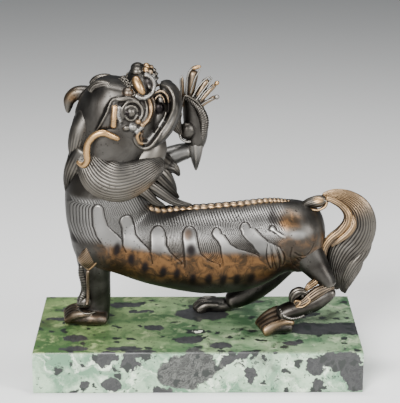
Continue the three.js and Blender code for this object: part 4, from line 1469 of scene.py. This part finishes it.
def marble():
    """Green serpentine breccia: clouds of green, black fragments, grey striped ones and crumbs."""
    made = bpy.data.materials.new("green marble")
    made.use_nodes = True
    r = Recipe(made.node_tree)
    place = r.place()

    def vector(operation, a, b):
        return r.add("ShaderNodeVectorMath", {0: a, 1: b}, operation=operation).outputs[0]

    def leaned(where, lean):
        sockets = {"Vector": where, "Angle": math.radians(lean)}
        return r.add("ShaderNodeVectorRotate", sockets, rotation_type="Y_AXIS").outputs[0]

    def away(x, y, z, sizes, lean=0):
        shifted = vector("SUBTRACT", torn, (x * MM, y * MM, z * MM))
        if lean:
            shifted = leaned(shifted, lean)
        scaled = vector("DIVIDE", shifted, tuple(size * MM for size in sizes))
        return r.add("ShaderNodeVectorMath", {0: scaled}, operation="LENGTH").outputs["Value"]

    sockets = {"Vector": place, "Scale": 130.0, "Detail": 5.0, "Roughness": 0.62}
    ragged = r.add("ShaderNodeTexNoise", sockets).outputs["Color"]
    shift = vector("SUBTRACT", ragged, (0.5, 0.5, 0.5))
    torn = vector("ADD", place, vector("MULTIPLY", shift, (0.011, 0.011, 0.011)))
    cloud = r.noise(torn, 52.0, 6.0, 0.62, 0.6)
    tone = r.mix(r.step(cloud, 0.38, 0.6), (0.1, 0.2, 0.12, 1), (0.36, 0.48, 0.34, 1))
    tone = r.mix(r.step(r.noise(torn, 90.0, 4.0, 0.6, 1.4), 0.52, 0.68), tone, (0.6, 0.68, 0.54, 1))
    tone = r.mix(r.step(r.noise(torn, 36.0, 3.0), 0.6, 0.72), tone, (0.1, 0.13, 0.09, 1))
    height = r.add("ShaderNodeSeparateXYZ", {"Vector": place}).outputs["Z"]
    top = r.step(height, 19.2 * MM, 19.6 * MM)
    side = r.add("ShaderNodeSeparateXYZ", {"Vector": place}).outputs["X"]
    # Painted shade: the top face is darkened to a dull olive, most of all towards the left end.
    painted_top_shade = r.mix(r.step(side, -70 * MM, 50 * MM), (0.36, 0.4, 0.2, 1), (0.42, 0.46, 0.36, 1))
    tone = r.mix(top, tone, r.mix(1.0, tone, painted_top_shade, "MULTIPLY"))
    crumbs = r.cells(torn, 190.0)
    pick = r.add("ShaderNodeSeparateColor", {"Color": crumbs.outputs["Color"]}).outputs[0]
    crowd = r.step(r.noise(place, 42.0, 2.0), 0.4, 0.62)
    crumb = r.math("MULTIPLY", r.step(r.math("ADD", pick, r.math("MULTIPLY", crowd, 0.3)), 0.86, 0.9),
        r.step(crumbs.outputs["Distance"], 0.34, 0.46, 1.0, 0.0))
    dust = r.cells(torn, 620.0)
    fleck = r.add("ShaderNodeSeparateColor", {"Color": dust.outputs["Color"]}).outputs[1]
    fleck = r.math("MULTIPLY", r.step(r.math("ADD", fleck, r.math("MULTIPLY", crowd, 0.35)), 0.86, 0.92),
        r.step(dust.outputs["Distance"], 0.24, 0.4, 1.0, 0.0))
    black = r.math("MAXIMUM", crumb, r.math("MULTIPLY", fleck, 0.8))
    stones = None
    for x, y, z, a, b, c, lean in DARK_STONES:
        reach = away(x, y, z, (a, b, c), lean)
        stones = reach if stones is None else r.math("MINIMUM", stones, reach)
    stone = r.step(stones, 0.9, 0.98, 1.0, 0.0)
    fibre = r.noise(vector("MULTIPLY", leaned(torn, 35), (1.0, 1.0, 7.0)), 330.0, 3.0, 0.6)
    grey = r.mix(r.step(fibre, 0.4, 0.62), (0.022, 0.023, 0.021, 1), (0.085, 0.088, 0.08, 1))
    main = r.step(away(*DARK_STONES[0][:3], (19, 16, 13)), 0.9, 1.0, 1.0, 0.0)
    grey = r.mix(main, r.mix(0.75, grey, (0.022, 0.022, 0.024, 1)), grey)
    tone = r.mix(stone, tone, grey)
    tone = r.mix(black, tone, (0.014, 0.017, 0.015, 1))
    x, y, z = WHITE_SPECK
    oval = r.step(away(x, y, z, (2.7, 2.4, 2)), 0.8, 0.95, 1.0, 0.0)
    ring = r.step(away(x - 0.4, y, z, (5.4, 4.6, 3)), 0.8, 0.95, 1.0, 0.0)
    tone = r.mix(oval, r.mix(ring, tone, (0.014, 0.017, 0.015, 1)), (0.72, 0.74, 0.6, 1))
    shader = r.tree.nodes["Principled BSDF"]
    r.put(shader.inputs["Base Color"], tone)
    matt = r.math("MULTIPLY", r.math("ADD", cloud, top), 0.12)
    r.put(shader.inputs["Roughness"], r.math("ADD", 0.14, matt))
    return made


FOCAL = 139.03
EYE = (-4.07, -701.97, 286.58)
AIM = (1.2, 0, 80.9)


def camera():
    lens = bpy.data.cameras.new("view")
    lens.lens = FOCAL
    lens.sensor_width = 36
    lens.clip_end = 20
    eye = bpy.data.objects.new("view", lens)
    bpy.context.scene.collection.objects.link(eye)
    eye.location = Vector(EYE) * MM
    eye.rotation_euler = (Vector(AIM) - Vector(EYE)).to_track_quat("-Z", "Y").to_euler()
    bpy.context.scene.camera = eye


def studio():
    def lamp(name, place, aim, size, power, colour=(1, 1, 1)):
        light = bpy.data.lights.new(name, "AREA")
        light.shape = "RECTANGLE"
        light.size, light.size_y = size[0] * MM, size[1] * MM
        light.energy = power
        light.color = colour
        made = bpy.data.objects.new(name, light)
        bpy.context.scene.collection.objects.link(made)
        made.location = Vector(place) * MM
        made.rotation_euler = (Vector(aim) - Vector(place)).to_track_quat("-Z", "Y").to_euler()
    lamp("key softbox", (-240, -700, 470), (0, 0, 60), (320, 260), 17)
    lamp("side softbox", (560, -400, 380), (0, 0, 70), (200, 320), 7)
    lamp("top softbox", (0, 60, 660), (0, 0, 70), (420, 160), 5)
    world = bpy.data.worlds.new("studio")
    world.use_nodes = True
    world.node_tree.nodes["Background"].inputs["Color"].default_value = (0.8, 0.85, 0.9, 1)
    world.node_tree.nodes["Background"].inputs["Strength"].default_value = 0.18
    bpy.context.scene.world = world
    reach = 3.0
    plane = bpy.data.meshes.new("floor")
    corners = [(-reach, -reach, 0), (reach, -reach, 0), (reach, reach, 0), (-reach, reach, 0)]
    plane.from_pydata(corners, [], [(0, 1, 2, 3)])
    paper = bpy.data.materials.new("pale paper")
    paper.use_nodes = True
    paper.node_tree.nodes["Principled BSDF"].inputs["Base Color"].default_value = (0.7, 0.7, 0.69, 1)
    paper.node_tree.nodes["Principled BSDF"].inputs["Roughness"].default_value = 0.9
    plane.materials.append(paper)
    floor = bpy.data.objects.new("floor", plane)
    bpy.context.scene.collection.objects.link(floor)


camera()
studio()
metal = bronze()
PIECES = [
    ("lion_body", body),
    ("back_ridge", back_ridge),
    ("head", head),
    ("mane", mane),
    ("tail", tail),
    ("foreleg", foreleg),
    ("hind_legs", hind_legs),
    ("raised_leg", raised_leg),
]
for name, build in PIECES:
    made = piece(name, build(), metal)
    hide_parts("bronze_lion")
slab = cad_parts["marble_base"]
slab.data.materials.clear()
slab.data.materials.append(marble())
